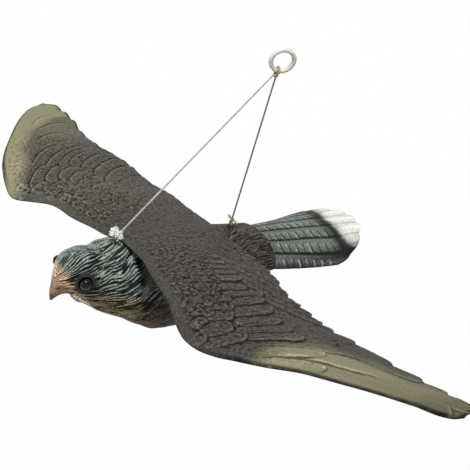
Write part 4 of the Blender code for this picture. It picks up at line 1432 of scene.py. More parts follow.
    def _curls(self, count: int, chance: np.random.Generator) -> list[Feather]:
        """Small loose curls on the inner part of the wing, rear ones first."""
        laid = []
        for _ in range(count):
            out = 0.006 + 0.105 * float(chance.uniform(0, 1)) ** 1.1
            limit = 0.52 - 2.6 * max(0.0, out - 0.04)
            chord = float(chance.uniform(0.055, max(limit, 0.14)))
            turn = math.radians(chance.uniform(-20, 95))
            size = float(chance.uniform(0.0026, 0.0052))
            front, rear = float(self.front(out)), float(self.rear(out))
            root = (out, front + (rear - front) * chord)
            laid.append(
                Feather(
                    root, turn, size, size * 0.95, 0.0003, 0.0002, 0.0002, 0.0,
                    0.0001, outline=0.9, line=0.0008, shine=0.5, tone=float(chance.uniform(-1, 1)),
                )
            )
        return sorted(laid, key=lambda one: -one.root[1])

    def surface(self, out: Array, chord: Array) -> tuple[Array, Array]:
        """Plain upper surface and thickness.

        Args:
            out: Distances out, as a grid.
            chord: Shares from the front edge to the rear edge, as a grid.

        Returns:
            Bird points with X still positive, and the depth of the underside below them.
        """
        front_lift, rear_lift = self.lifts()
        front = self.front(out)
        rear = self.rear(out) - self.lobes(out)
        front_up = smooth([(p[0], p[2]) for p in self.leading], out) + smooth(front_lift, out)
        rear_up = smooth([(p[0], p[2]) for p in self.trailing], out) + smooth(rear_lift, out)
        back = front + (rear - front) * chord
        up = front_up * (1 - chord) + rear_up * chord + smooth(self.crown, out) * np.sin(math.pi * chord**0.55)
        nose = np.sqrt(np.clip(1 - (1 - np.minimum(chord / self.nose, 1.0)) ** 2, 0, 1))
        depth = smooth(self.thick, out) * nose * (1 - (1 - self.rear_share) * chord)
        low = np.maximum(up - depth, self.trunk.back_height(out, back) + 0.00045)
        low = np.minimum(low, up - self.least * nose)
        return np.stack([out, back, up], axis=-1), up - low

    def masks(self, bed: FeatherBed, out: Array, back: Array, chord: Array, under: bool) -> Masks:
        """Masks that the wing's finish reads at places on it."""
        noise = Grain(31)
        cloud = noise(out / 0.018, back / 0.018)
        band = ramp(0.075, 0.03, chord)
        reach = back - self.front(out)
        if self.side is Side.LEFT:
            khaki = ramp(0.164, 0.194, out + 0.004 * cloud) * ramp(0.078, 0.040, reach + 0.006 * cloud)
        else:
            edge = 0.018 * ramp(0.118, 0.165, out) + 0.024 * ramp(0.19, 0.26, out)
            edge = edge + 0.03 * ramp(0.24, 0.275, out)
            khaki = ramp(edge + 0.017, edge - 0.008, reach + 0.004 * cloud) * ramp(0.108, 0.134, out)
            khaki = np.maximum(khaki, 0.35 * ramp(0.17, 0.215, out + 0.004 * cloud))
        khaki = khaki * (0.4 if under else 1.0)
        # Painted shade from the feather map's recesses and edges, less on the front band and the khaki.
        recess = bed.read(bed.recess, out, back) * (1 - 0.8 * band) * (1 - 0.35 * khaki)
        recess = np.maximum(recess, 0.9 * self.edge_shade(out, back))
        if self.side is Side.LEFT:
            pits = ramp(0.05, 0.40, noise(out / 0.0022, back / 0.0022))
            recess = np.maximum(recess, pits * hill(out, 0.183, 0.007) * hill(back, 0.0905, 0.006))
        ridge = bed.read(bed.ridge, out, back) * (1 - 0.5 * band)
        if self.side is Side.RIGHT:
            zone = hill(out, 0.085, 0.030) * ramp(0.004, 0.009, reach) * ramp(0.045, 0.020, reach)
            grain = noise(out / 0.0021 + 7, back / 0.0021)
            ridge = np.maximum(ridge, 1.3 * ramp(0.42, 0.62, grain) * zone)
            recess = np.maximum(recess, ramp(-0.35, -0.60, grain) * zone)
        tone = self.span_light_and_shade(out)
        if self.side is Side.RIGHT:
            # Less of the painted light on the right wing's khaki.
            tone = tone * (1 - 0.72 * khaki * (out > 0.1))
        hatch = (1 - 0.8 * khaki) * self.hatching(out)
        if self.side is Side.LEFT:
            hatch = hatch + 0.28 * ramp(0.200, 0.215, out) * ramp(0.262, 0.240, out) * hill(reach, 0.013, 0.008)
        return {
            "recess": recess,
            "plain": 0.75 * khaki,
            "ridge": ridge,
            "tone": bed.read(bed.tone, out, back) * (1 - band) + tone,
            "barb": bed.read(bed.barb, out, back),
            "khaki": khaki,
            "under": np.full_like(out, 1.0 if under else 0.0),
            "hatch": hatch,
        }

    def hatching(self, out: Array) -> Array:
        """How strongly the barbs show along the span."""
        if self.side is Side.LEFT:
            return np.full_like(out, 0.28)
        return 0.3 + 0.55 * ramp(0.07, 0.12, out) + 0.5 * ramp(0.17, 0.21, out)

    def span_light_and_shade(self, out: Array) -> Array:
        """Tone along the span: on the right wing painted light that lightens it outwards; on the left wing
        darker coverts and a hand darker towards its tip, partly its own darker paint and partly painted shade.
        """
        if self.side is Side.RIGHT:
            return 6.2 * ramp(0.02, 0.11, out)
        coverts = ramp(0.07, 0.10, out) * ramp(0.165, 0.15, out)
        hand = 2.4 * ramp(0.22, 0.28, out) + 1.6 * ramp(0.262, 0.285, out) + ramp(0.17, 0.20, out)
        return -0.7 * coverts - hand

    def edge_shade(self, out: Array, back: Array) -> Array:
        """Where painted shade darkens the edges of the hand."""
        reach, behind = back - self.front(out), self.rear(out) - self.lobes(out) - back
        rim = ramp(0.0036, 0.0010, reach) * ramp(0.13, 0.17, out)
        outer = ramp(0.265, 0.285, out) if self.side is Side.LEFT else ramp(0.10, 0.16, out)
        rim = np.maximum(rim, ramp(0.0032, 0.0010, behind) * outer)
        return np.maximum(rim, ramp(self.span - 0.0042, self.span - 0.0012, out))

    def build(self) -> Piece:
        """Build the wing as one closed piece."""
        bed = self.feathers()
        line = np.linspace(0.0002, self.span, self.span_steps + 1)
        top_share = np.linspace(0.0, 1.0, self.chord_steps + 1) ** 1.12
        low_share = np.linspace(0.0, 1.0, self.under_steps + 1) ** 1.12
        out, chord = np.meshgrid(line, top_share, indexing="ij")
        top, room = self.surface(out, chord)
        rough = ramp(0.01, 0.08, chord) * ramp(0.0, 0.02, chord)
        relief = (bed.read(bed.height, out, top[..., 1]) - self.relief_middle) * (0.12 + 0.88 * rough)
        top[..., 2] += np.maximum(relief, 0.0005 - room) * ramp(0.0, 0.02, chord)
        out_low, chord_low = np.meshgrid(line, low_share, indexing="ij")
        low, depth = self.surface(out_low, chord_low)
        low_height = 0.5 * bed.read(bed.height, out_low, low[..., 1])
        low_height = low_height * ramp(0.05, 0.2, chord_low) * ramp(0.05, 0.09, out_low)
        low[..., 2] -= depth + low_height - 0.0005 * ramp(0.05, 0.2, chord_low) * ramp(0.05, 0.09, out_low)
        low[:, 0] = top[:, 0]
        masks_top = self.masks(bed, out, top[..., 1], chord, False)
        masks_low = self.masks(bed, out_low, low[..., 1], chord_low, True)
        sign = self.side.value
        points = np.concatenate([top.reshape(-1, 3), low.reshape(-1, 3)]) * np.array([sign, 1.0, 1.0])
        rows, columns, under = len(line), len(top_share), len(low_share)
        start = rows * columns
        flip = sign < 0
        faces = grid_faces(rows, columns, 0, flip)
        faces += grid_faces(rows, under, start, not flip)
        top_rear = [r * columns + columns - 1 for r in range(rows)]
        low_rear = [start + r * under + under - 1 for r in range(rows)]
        faces += strip_faces(top_rear, low_rear, not flip)
        faces += self._end_faces(0, columns, under, start, flip)
        faces += self._end_faces(rows - 1, columns, under, start, not flip)
        masks = {key: np.concatenate([masks_top[key].ravel(), masks_low[key].ravel()]) for key in masks_top}
        made = skin_object(f"{self.side.word}_feathered_wing", points, faces, masks)
        weld(made)
        return made

    @staticmethod
    def _end_faces(row: int, columns: int, under: int, start: int, flip: bool) -> Faces:
        """One face that closes the wing at its root or its tip."""
        top = [row * columns + c for c in range(columns)]
        low = [start + row * under + c for c in range(under)]
        face = tuple(top + low[:0:-1])
        return [face[::-1] if flip else face]


@dataclass
class Tail:
    """The fan of tail feathers."""

    start: float = 0.1714
    root: float = 0.165
    top: float = -0.0125
    length: float = 0.138
    root_half: float = 0.0326
    end_half: float = 0.0442
    root_arch: float = 18.9
    end_arch: float = 5.07
    thick: float = 0.003
    feathers: int = 6
    lobe: float = 0.0035
    across_steps: int = 210
    along_steps: int = 200
    noise: Grain = field(default_factory=lambda: Grain(23))

    def end(self, q: Array) -> Array:
        """Where the fan ends, by share across it from -1 to 1."""
        straight = 0.6 * self.length
        share = ((q + 0.76) * 0.5 * self.feathers) % 1.0
        lobe = self.lobe * (1 - (2 * share - 1) ** 2)
        edge = np.clip(1 - np.abs(q) ** 1.82, 0.0, 1.0) ** 0.55
        return straight + (self.length - self.lobe - straight) * edge + lobe * np.minimum(1.0, edge * 4)

    def height(self, along: Array, out: Array) -> Array:
        """Height of the plain upper side."""
        arch = self.root_arch + (self.end_arch - self.root_arch) * along / self.length
        return self.top - arch * out * out

    def build(self) -> Piece:
        """Build the fan as one closed piece."""
        q, a = np.meshgrid(
            np.linspace(-1, 1, self.across_steps + 1),
            np.linspace(0, 1, self.along_steps + 1), indexing="ij",
        )
        first = self.start - self.root
        along = first + (self.end(q) - first) * a
        half = self.root_half + (self.end_half - self.root_half) * np.minimum(
            along / (0.6 * self.length), 1.0,
        )
        out = q * half
        relief, masks = self.plumage(q, along, out)
        top = np.stack([out, self.root + along, self.height(along, out) + relief], axis=-1)
        low = np.stack(
            [out, self.root + along, self.height(along, out) - self.thick - 0.5 * relief], axis=-1,
        )
        rows, columns = q.shape
        count = rows * columns
        points = np.concatenate([top.reshape(-1, 3), low.reshape(-1, 3)])
        faces = grid_faces(rows, columns) + grid_faces(rows, columns, count, True)
        loops = (
            ([r * columns + columns - 1 for r in range(rows)], True),
            ([r * columns for r in range(rows)], False),
            ([c for c in range(columns)], True),
            ([(rows - 1) * columns + c for c in range(columns)], False),
        )
        for loop, flip in loops:
            faces += strip_faces(loop, [i + count for i in loop], flip)
        made = skin_object(
            "tail_feathers", points, faces,
            {k: np.concatenate([v.ravel(), v.ravel()]) for k, v in masks.items()},
        )
        weld(made)
        return made

    def plumage(self, q: Array, along: Array, out: Array) -> tuple[Array, Masks]:
        """Relief of the tail feathers and the masks of their paint.

        Args:
            q: Shares across the fan.
            along: Distances from the root.
            out: Distances from the middle line.

        Returns:
            Heights, and masks by name.
        """
        noise = self.noise
        lane = (q + 0.93 - 1.25 * along) * 0.5 * self.feathers + 0.06 * noise(along / 0.03, q * 3)
        share = lane % 1.0
        groove = np.minimum(share, 1 - share)
        dome = np.sqrt(np.clip(groove * 2, 0, 1))
        barb = (along * 1.0 - 0.8 * np.abs(share - 0.5) * 0.014) / 0.0016
        wobble = noise(along / 0.012, out / 0.012)
        turn = (along - 0.16 * (share - 0.5) * 0.014 + 0.0012 * wobble) * 2 * math.pi / 0.0090
        window = ramp(0.30, 0.48, share) * ramp(1.0, 0.9, share) * ramp(0.004, 0.016, along)
        worn = ramp(-0.5, 0.2, noise(along / 0.006 + 9, q * 9))
        bars = ramp(0.35, 0.85, np.sin(turn)) * window * (0.6 + 0.4 * worn)
        steps = ramp(0.35, 0.98, np.sin(turn + 1.2)) * window * worn * ramp(0.100, 0.085, along)
        # Dark grooves between the feathers, painted shade along the near edge and painted shade at the root
        # under the rump.
        recess = ramp(0.15, 0.02, groove) + 0.85 * ramp(0.026, 0.043, out) + 0.15 * ramp(0.05, 0.02, along)
        relief = 0.0009 * (dome - 0.7) + 0.0004 * steps - 0.0003 * bars
        middle = 0.0925 + 0.5 * np.maximum(-out, 0.0) + 10.0 * np.maximum(out - 0.015, 0.0) ** 2
        beyond = along - middle + 0.0016 * wobble
        band = hill(beyond + 0.0026 * noise(along / 0.005, out / 0.005), 0.0, 0.0090)
        # The white tip stops short of the near edge, which stays dark as painted shade.
        white = ramp(0.002, 0.010, beyond) * ramp(0.047, 0.022, out + 0.004 * wobble)
        recess = recess * (1 - 0.72 * white)
        # The ridge mask is painted highlights on the raised steps and the feathers' crowns.
        masks = {
            "recess": np.clip(recess, 0, 1),
            "ridge": np.clip(0.8 * steps + np.clip(dome - 0.8, 0, 1), 0, 1),
            "tone": noise(lane * 0.9, along / 0.05),
            "barb": barb, "hatch": 1.0 - white, "plain": 0.6 * white,
            "bars": bars * (1 - white), "band": 0.97 * band, "white_tip": white,
        }
        return relief, masks


class TwineTree:
    """Geometry Nodes that lay twisted strands along a curve."""

    INPUTS = (("Strand Radius", 0.00042), ("Lay Radius", 0.00040), ("Lay Length", 0.0042), ("Step", 0.0003))

    def __init__(self, strands: int = 3) -> None:
        """Build the tree for a number of strands."""
        self.tree = bpy.data.node_groups.new("laid_twine", "GeometryNodeTree")
        face = self.tree.interface
        face.new_socket("Geometry", in_out="INPUT", socket_type="NodeSocketGeometry")
        self.keys: dict[str, str] = {}
        for name, value in self.INPUTS:
            socket = face.new_socket(name, in_out="INPUT", socket_type="NodeSocketFloat")
            socket.default_value = value
            self.keys[name] = socket.identifier
        self.keys["Material"] = face.new_socket(
            "Material", in_out="INPUT", socket_type="NodeSocketMaterial",
        ).identifier
        face.new_socket("Geometry", in_out="OUTPUT", socket_type="NodeSocketGeometry")
        self._wire(strands)

    def _wire(self, strands: int) -> None:
        """Add the nodes and links."""
        tree = self.tree
        new, link = tree.nodes.new, tree.links.new
        given, result = new("NodeGroupInput"), new("NodeGroupOutput")
        even = new("GeometryNodeResampleCurve")
        even.mode = "LENGTH"
        link(given.outputs["Geometry"], even.inputs["Curve"])
        link(given.outputs["Step"], even.inputs["Length"])
        along = new("GeometryNodeSplineParameter").outputs["Length"]
        normal, tangent = new("GeometryNodeInputNormal").outputs[0], new("GeometryNodeInputTangent").outputs[0]
        binormal = new("ShaderNodeVectorMath")
        binormal.operation = "CROSS_PRODUCT"
        link(tangent, binormal.inputs[0])
        link(normal, binormal.inputs[1])
        turns = self._math("DIVIDE", along, given.outputs["Lay Length"])
        ring = new("GeometryNodeCurvePrimitiveCircle")
        ring.inputs["Resolution"].default_value = 7
        link(given.outputs["Strand Radius"], ring.inputs["Radius"])
        joined = new("GeometryNodeJoinGeometry")
        for k in range(strands):
            angle = self._math("MULTIPLY", self._math("ADD", turns, k / strands), 2 * math.pi)
            parts = []
            for kind, axis in (("COSINE", normal), ("SINE", binormal.outputs[0])):
                size = self._math("MULTIPLY", self._math(kind, angle), given.outputs["Lay Radius"])
                part = new("ShaderNodeVectorMath")
                part.operation = "SCALE"
                link(axis, part.inputs[0])
                link(size, part.inputs["Scale"])
                parts.append(part.outputs[0])
            total = new("ShaderNodeVectorMath")
            total.operation = "ADD"
            link(parts[0], total.inputs[0])
            link(parts[1], total.inputs[1])
            moved = new("GeometryNodeSetPosition")
            link(even.outputs["Curve"], moved.inputs["Geometry"])
            link(total.outputs[0], moved.inputs["Offset"])
            tube = new("GeometryNodeCurveToMesh")
            link(moved.outputs[0], tube.inputs["Curve"])
            link(ring.outputs["Curve"], tube.inputs["Profile Curve"])
            tube.inputs["Fill Caps"].default_value = True
            link(tube.outputs[0], joined.inputs[0])
        real = new("GeometryNodeRealizeInstances")
        look = new("GeometryNodeSetMaterial")
        link(joined.outputs[0], real.inputs[0])
        link(real.outputs[0], look.inputs["Geometry"])
        link(given.outputs["Material"], look.inputs["Material"])
        link(look.outputs[0], result.inputs[0])

    def _math(self, kind: str, *values: object) -> Socket:
        """Add a Math node to the tree."""
        return ShaderKit.math(self.tree, kind, *values)

    def lay(self, name: str, routes: Sequence[Array], look: Look, **sizes: float) -> Piece:
        """Lay twine along routes.

        Args:
            name: Piece name.
            routes: Rows of world points, one array for each length of twine.
            look: Material.
            sizes: Sizes to change, with underscores for the spaces of the inputs' names.

        Returns:
            The twine as a plain mesh piece.
        """
        base = curve_object(f"{name}_route", routes)
        step = base.modifiers.new("lay", "NODES")
        step.node_group = self.tree
        step[self.keys["Material"]] = look
        for key, value in sizes.items():
            step[self.keys[key.replace("_", " ").title()]] = value
        return settled(base, name)


def curve_object(name: str, routes: Sequence[Array]) -> Piece:
    """A curve object with one straight-sided spline for each route."""
    curve = bpy.data.curves.new(name, "CURVE")
    curve.dimensions = "3D"
    for route in routes:
        line = curve.splines.new("POLY")
        line.points.add(len(route) - 1)
        line.points.foreach_set("co", np.column_stack([route, np.ones(len(route))]).ravel())
    made = bpy.data.objects.new(name, curve)
    bpy.context.scene.collection.objects.link(made)
    return made


def settled(base: Piece, name: str) -> Piece:
    """Turn an object with a Geometry Nodes modifier into a plain mesh piece of the given name."""
    bpy.context.view_layer.update()
    graph = bpy.context.evaluated_depsgraph_get()
    mesh = bpy.data.meshes.new_from_object(
        base.evaluated_get(graph), preserve_all_data_layers=True, depsgraph=graph,
    )
    mesh.name = name
    mesh.shade_smooth()
    bpy.data.objects.remove(base)
    made = bpy.data.objects.new(name, mesh)
    bpy.context.scene.collection.objects.link(made)
    return made


class FrayTree:
    """Geometry Nodes that fan a bundle's axis out into loose fibres."""

    INPUTS = (
        ("Fibres", "NodeSocketInt", 18), ("Fibre Radius", "NodeSocketFloat", 0.00013),
        ("Spread", "NodeSocketFloat", 0.0018),
    )

    def __init__(self) -> None:
        """Build the tree."""
        self.tree = bpy.data.node_groups.new("frayed_end", "GeometryNodeTree")
        face = self.tree.interface
        face.new_socket("Geometry", in_out="INPUT", socket_type="NodeSocketGeometry")
        self.keys: dict[str, str] = {}
        for name, kind, value in self.INPUTS:
            socket = face.new_socket(name, in_out="INPUT", socket_type=kind)
            socket.default_value = value
            self.keys[name] = socket.identifier
        self.keys["Material"] = face.new_socket(
            "Material", in_out="INPUT", socket_type="NodeSocketMaterial",
        ).identifier
        face.new_socket("Geometry", in_out="OUTPUT", socket_type="NodeSocketGeometry")
        self._wire()

    def _wire(self) -> None:
        """Add the nodes and links."""
        tree = self.tree
        new, link = tree.nodes.new, tree.links.new
        given, result = new("NodeGroupInput"), new("NodeGroupOutput")
        many = new("GeometryNodeDuplicateElements")
        many.domain = "SPLINE"
        link(given.outputs["Geometry"], many.inputs["Geometry"])
        link(given.outputs["Fibres"], many.inputs["Amount"])
        number = new("GeometryNodeFieldOnDomain")
        number.domain = "CURVE"
        number.data_type = "INT"
        link(new("GeometryNodeInputIndex").outputs[0], number.inputs[0])
        apart = new("FunctionNodeRandomValue")
        apart.data_type = "FLOAT_VECTOR"
        apart.inputs["Min"].default_value = (-1.0, -1.0, -1.0)
        apart.inputs["Max"].default_value = (1.0, 1.0, 1.0)
        apart.inputs["Seed"].default_value = 7
        link(number.outputs[0], apart.inputs["ID"])
        along = new("GeometryNodeSplineParameter").outputs["Factor"]
        opened = ShaderKit.math(tree, "MULTIPLY_ADD", ShaderKit.math(tree, "POWER", along, 1.6), 0.85, 0.15)
        size = ShaderKit.math(tree, "MULTIPLY", opened, given.outputs["Spread"])
        offset = new("ShaderNodeVectorMath")
        offset.operation = "SCALE"
        link(apart.outputs["Value"], offset.inputs[0])
        link(size, offset.inputs["Scale"])
        moved = new("GeometryNodeSetPosition")
        link(many.outputs["Geometry"], moved.inputs["Geometry"])
        link(offset.outputs[0], moved.inputs["Offset"])
        ring = new("GeometryNodeCurvePrimitiveCircle")
        ring.inputs["Resolution"].default_value = 4
        link(given.outputs["Fibre Radius"], ring.inputs["Radius"])
        tube = new("GeometryNodeCurveToMesh")
        link(moved.outputs[0], tube.inputs["Curve"])
        link(ring.outputs["Curve"], tube.inputs["Profile Curve"])
        tube.inputs["Fill Caps"].default_value = True
        real = new("GeometryNodeRealizeInstances")
        look = new("GeometryNodeSetMaterial")
        link(tube.outputs[0], real.inputs[0])
        link(real.outputs[0], look.inputs["Geometry"])
        link(given.outputs["Material"], look.inputs["Material"])
        link(look.outputs[0], result.inputs[0])

    def fan(self, name: str, routes: Sequence[Array], look: Look, **sizes: float) -> Piece:
        """Fan bundles out into fibres along routes, as one plain mesh piece."""
        base = curve_object(f"{name}_route", routes)
        step = base.modifiers.new("fray", "NODES")
        step.node_group = self.tree
        step[self.keys["Material"]] = look
        for key, value in sizes.items():
            step[self.keys[key.replace("_", " ").title()]] = value
        return settled(base, name)


class RingTree:
    """Geometry Nodes that sweep a round section along a circle."""

    def __init__(self) -> None:
        """Build the tree."""
        self.tree = bpy.data.node_groups.new("moulded_ring", "GeometryNodeTree")
        tree, face = self.tree, self.tree.interface
        face.new_socket("Geometry", in_out="INPUT", socket_type="NodeSocketGeometry")
        self.keys = {}
        for name, kind in (
            ("Mean Radius", "NodeSocketFloat"),
            ("Tube Radius", "NodeSocketFloat"), ("Material", "NodeSocketMaterial"),
        ):
            self.keys[name] = face.new_socket(name, in_out="INPUT", socket_type=kind).identifier
        face.new_socket("Geometry", in_out="OUTPUT", socket_type="NodeSocketGeometry")
        new, link = tree.nodes.new, tree.links.new
        given, result = new("NodeGroupInput"), new("NodeGroupOutput")
        path, section = new("GeometryNodeCurvePrimitiveCircle"), new("GeometryNodeCurvePrimitiveCircle")
        path.inputs["Resolution"].default_value = 120
        section.inputs["Resolution"].default_value = 28
        link(given.outputs["Mean Radius"], path.inputs["Radius"])
        link(given.outputs["Tube Radius"], section.inputs["Radius"])
        sweep, real, look = new("GeometryNodeCurveToMesh"), new(
            "GeometryNodeRealizeInstances"
        ), new("GeometryNodeSetMaterial")
        link(path.outputs["Curve"], sweep.inputs["Curve"])
        link(section.outputs["Curve"], sweep.inputs["Profile Curve"])
        link(sweep.outputs[0], real.inputs[0])
        link(real.outputs[0], look.inputs["Geometry"])
        link(given.outputs["Material"], look.inputs["Material"])
        link(look.outputs[0], result.inputs[0])

    def build(self, look: Look) -> Piece:
        """Build the ring where the frame says."""
        base = bpy.data.objects.new("ring_base", bpy.data.meshes.new("ring_base"))
        bpy.context.scene.collection.objects.link(base)
        step = base.modifiers.new("ring", "NODES")
        step.node_group = self.tree
        for name, value in (
            ("Mean Radius", HANG.ring_mean), ("Tube Radius", HANG.ring_tube), ("Material", look),
        ):
            step[self.keys[name]] = value
        made = settled(base, "milky_ring")
        along, over, normal = HANG.ring_axes()
        middle = -(HANG.ring_mean - HANG.ring_tube) * over
        turn = Matrix((along, over, normal)).transposed().to_4x4()
        made.data.transform(Matrix.Translation(middle) @ turn)
        return made


@dataclass
class Bridle:
    """The two cord legs, their knots on the eyelets and the hitch on the ring."""

    cord_radius: float = 0.0008
    wire: float = 0.0007
    gap: float = 0.0003
    rear_back: float = 0.1326
    hitch_knot: float = 0.0021
    hitch_drop: float = 0.0014

    @property
    def hitch_reach(self) -> float:
        """From the middle of the ring's tube to the middle of the cord round it."""
        return HANG.ring_tube + self.gap + self.cord_radius

    def knot(self, back: float, size: float) -> Vector:
        """Middle of a lower knot in the bird's frame."""
        return Vector((0, back, self.wire + self.gap + self.cord_radius + 0.75 * size))

    def leg(self, back: float, size: float) -> Array:
        """Route of a cord leg from the hitch down to its knot, in world points."""
        knot, hitch = self.knot(back, size), HANG.hitch_bird
        line = (hitch - knot).normalized()
        start = knot + line * (0.95 * size + self.gap)
        end = hitch - line * (self.hitch_reach + self.hitch_drop + 1.3 * self.hitch_knot)
        return HANG.world(np.array([end.lerp(start, k / 30) for k in range(31)]))

    def trefoil(self, middle: Vector, size: float, tilt: Matrix) -> Array:
        """Route of a pulled-tight overhand knot."""
        t = np.linspace(0, 2 * math.pi, 64)
        x, y = np.sin(t) + 2 * np.sin(2 * t), np.cos(t) - 2 * np.cos(2 * t)
        shape = np.stack([x, y, -1.3 * np.sin(3 * t)], axis=1) * (size / 3.0)
        return shape @ np.array(tilt.to_3x3()).T + np.array(middle)

    def loop(self, back: float, reach: float) -> Array:
        """Route of the loop through an eyelet."""
        t = np.linspace(0, 2 * math.pi, 40)
        return np.stack([reach * np.cos(t), np.full_like(t, back), reach * np.sin(t)], axis=1)


@dataclass
class Studio:
    """Camera, lights, white floor and white surround."""

    camera_place: tuple[float, float, float] = (0.7742, -0.7334, 0.5156)
    camera_right: tuple[float, float, float] = (0.64141, 0.72265, 0.25763)
    camera_up: tuple[float, float, float] = (-0.4742, 0.10945, 0.87359)
    camera_back: tuple[float, float, float] = (0.6031, -0.6825, 0.41288)
    lens: float = 107.2
    floor_level: float = -0.75
    lit_place: tuple[float, float, float] = (0.0, 0.06, 0.0)
    lamp_reach: float = 1.5
    key_power: float = 21.0
    side_power: float = 6.0
    ambient: float = 0.26

    def build(self) -> None:
        """Set the stage."""
        scene = bpy.context.scene
        scene.view_settings.view_transform = "Standard"
        self._camera(scene)
        self._lights(scene)
        self._floor(scene)
        self._world(scene)

    def _camera(self, scene: Scene) -> None:
        """Place the camera where the photograph was taken from."""
        data = bpy.data.cameras.new("camera")
        data.lens = self.lens
        data.sensor_width = 36.0
        data.sensor_fit = "HORIZONTAL"
        data.clip_start = 0.05
        data.clip_end = 20.0
        made = bpy.data.objects.new("camera", data)
        turn = Matrix((self.camera_right, self.camera_up, self.camera_back)).transposed().to_4x4()
        made.matrix_world = HANG.matrix() @ Matrix.Translation(self.camera_place) @ turn
        scene.collection.objects.link(made)
        scene.camera = made

    def _lights(self, scene: Scene) -> None:
        """A lamp above the camera and a weaker one far to its left."""
        right, up, back = (Vector(v) for v in (self.camera_right, self.camera_up, self.camera_back))
        for name, aim, size, power in (
            ("key_lamp", 0.72 * back + 0.67 * up + 0.15 * right, 0.35, self.key_power),
            ("side_lamp", 0.30 * back + 0.10 * up - 0.95 * right, 0.30, self.side_power),
        ):
            data = bpy.data.lights.new(name, "AREA")
            data.shape = "DISK"
            data.size = size
            data.energy = power
            made = bpy.data.objects.new(name, data)
            turn = aim.to_track_quat("Z", "Y").to_matrix().to_4x4()
            place = Vector(self.lit_place) + self.lamp_reach * aim.normalized()
            made.matrix_world = HANG.matrix() @ Matrix.Translation(place) @ turn
            scene.collection.objects.link(made)

    def _floor(self, scene: Scene) -> None:
        """A wide pale floor that shows white and keeps a soft shadow."""
        mesh = bpy.data.meshes.new("studio_floor")
        r, z = 6.0, self.floor_level
        mesh.from_pydata([(-r, -r, z), (r, -r, z), (r, r, z), (-r, r, z)], [], [(0, 1, 2, 3)])
        made = bpy.data.objects.new("studio_floor", mesh)
        scene.collection.objects.link(made)
        look = bpy.data.materials.new("pale_floor")
        look.use_nodes = True
        tree = look.node_tree
        tree.nodes.remove(tree.nodes["Principled BSDF"])
        place = tree.nodes.new("ShaderNodeTexCoord").outputs["Object"]
        cloud = ShaderKit.noise(tree, place, 3.0, 2.0)
        matt = tree.nodes.new("ShaderNodeBsdfDiffuse")
        tree.links.new(
            ShaderKit.mix(tree, cloud, (0.90, 0.90, 0.90), (0.93, 0.93, 0.93)), matt.inputs["Color"],
        )
        glow = tree.nodes.new("ShaderNodeEmission")
        glow.inputs["Strength"].default_value = 1.0
        share = ShaderKit.math(tree, "MULTIPLY", self._seen(tree), 0.985)
        mixed = tree.nodes.new("ShaderNodeMixShader")
        tree.links.new(share, mixed.inputs[0])
        tree.links.new(matt.outputs[0], mixed.inputs[1])
        tree.links.new(glow.outputs[0], mixed.inputs[2])
        tree.links.new(mixed.outputs[0], tree.nodes["Material Output"].inputs["Surface"])
        mesh.materials.append(look)

    @staticmethod
    def _seen(tree: Tree) -> Socket:
        """1 for rays from the camera and for those by way of gloss or glass."""
        path = tree.nodes.new("ShaderNodeLightPath").outputs
        seen = ShaderKit.math(tree, "MAXIMUM", path["Is Camera Ray"], path["Is Glossy Ray"])
        return ShaderKit.math(tree, "MAXIMUM", seen, path["Is Transmission Ray"])

    def _world(self, scene: Scene) -> None:
        """A white surround that lights the object softly."""
        world = bpy.data.worlds.new("white_surround")
        scene.world = world
        world.use_nodes = True
        tree = world.node_tree
        shader = tree.nodes["Background"]
        shader.inputs["Color"].default_value = (1.0, 1.0, 1.0, 1.0)
        seen = self._seen(tree)
        strength = ShaderKit.math(tree, "MULTIPLY_ADD", seen, 1.0 - self.ambient, self.ambient)
        tree.links.new(strength, shader.inputs["Strength"])


BACK_FINISH = PaintFinish(
    "grey_brown_plumage", (0.083, 0.098, 0.087),
    (
        Spray("throat", (0.102, 0.087, 0.051)),
        Spray("breast", (0.046, 0.033, 0.025)), Spray("rump", (0.056, 0.047, 0.040)),
        Spray("eye_patch", (0.026, 0.028, 0.025)),
        Spray("face", (0.215, 0.170, 0.120)), Spray("lip", (0.45, 0.42, 0.36)),
        Spray("beak", (0.310, 0.215, 0.145)), Spray("hook", (0.170, 0.115, 0.080)),
    ),
    wash=(0.006, 0.006, 0.006), shade_paint_amount=0.95, highlight_gain=4.1, highlight_amount=0.80, tone_amount=0.12,
    barb_depth=0.1, roughness=0.5,
)
WING_FINISH = PaintFinish(
    "wing_plumage", (0.064, 0.0585, 0.0495),
    (Spray("khaki", (0.250, 0.233, 0.143)), Spray("under", (0.075, 0.070, 0.060))),
    wash=(0.010, 0.009, 0.008), shade_paint_amount=0.95, highlight_gain=2.8, highlight_amount=0.5, tone_amount=0.10,
    barb_depth=0.8, barb_shade=0.65, roughness=0.5,
)
TAIL_FINISH = PaintFinish(
    "green_grey_tail", (0.165, 0.195, 0.170),
    (
        Spray("bars", (0.035, 0.040, 0.036)),
        Spray("white_tip", (0.80, 0.81, 0.75)), Spray("band", (0.012, 0.012, 0.011)),
    ),
    wash=(0.012, 0.012, 0.011), shade_paint_amount=1.0, highlight_gain=2.3, highlight_amount=0.9, tone_amount=0.08,
    barb_depth=0.3, barb_shade=0.2, roughness=0.5,
)


def attach(piece: Piece, body: Body, slot: Slot, *nodes: str) -> None:
    """Say what a piece rides on and hide the nodes that it stands for, and report it."""
    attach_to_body(piece, body.value)
    if nodes:
        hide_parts(*nodes)
    LOG.info("%s rides on %s, %d points", piece.name, body.value, len(piece.data.vertices))


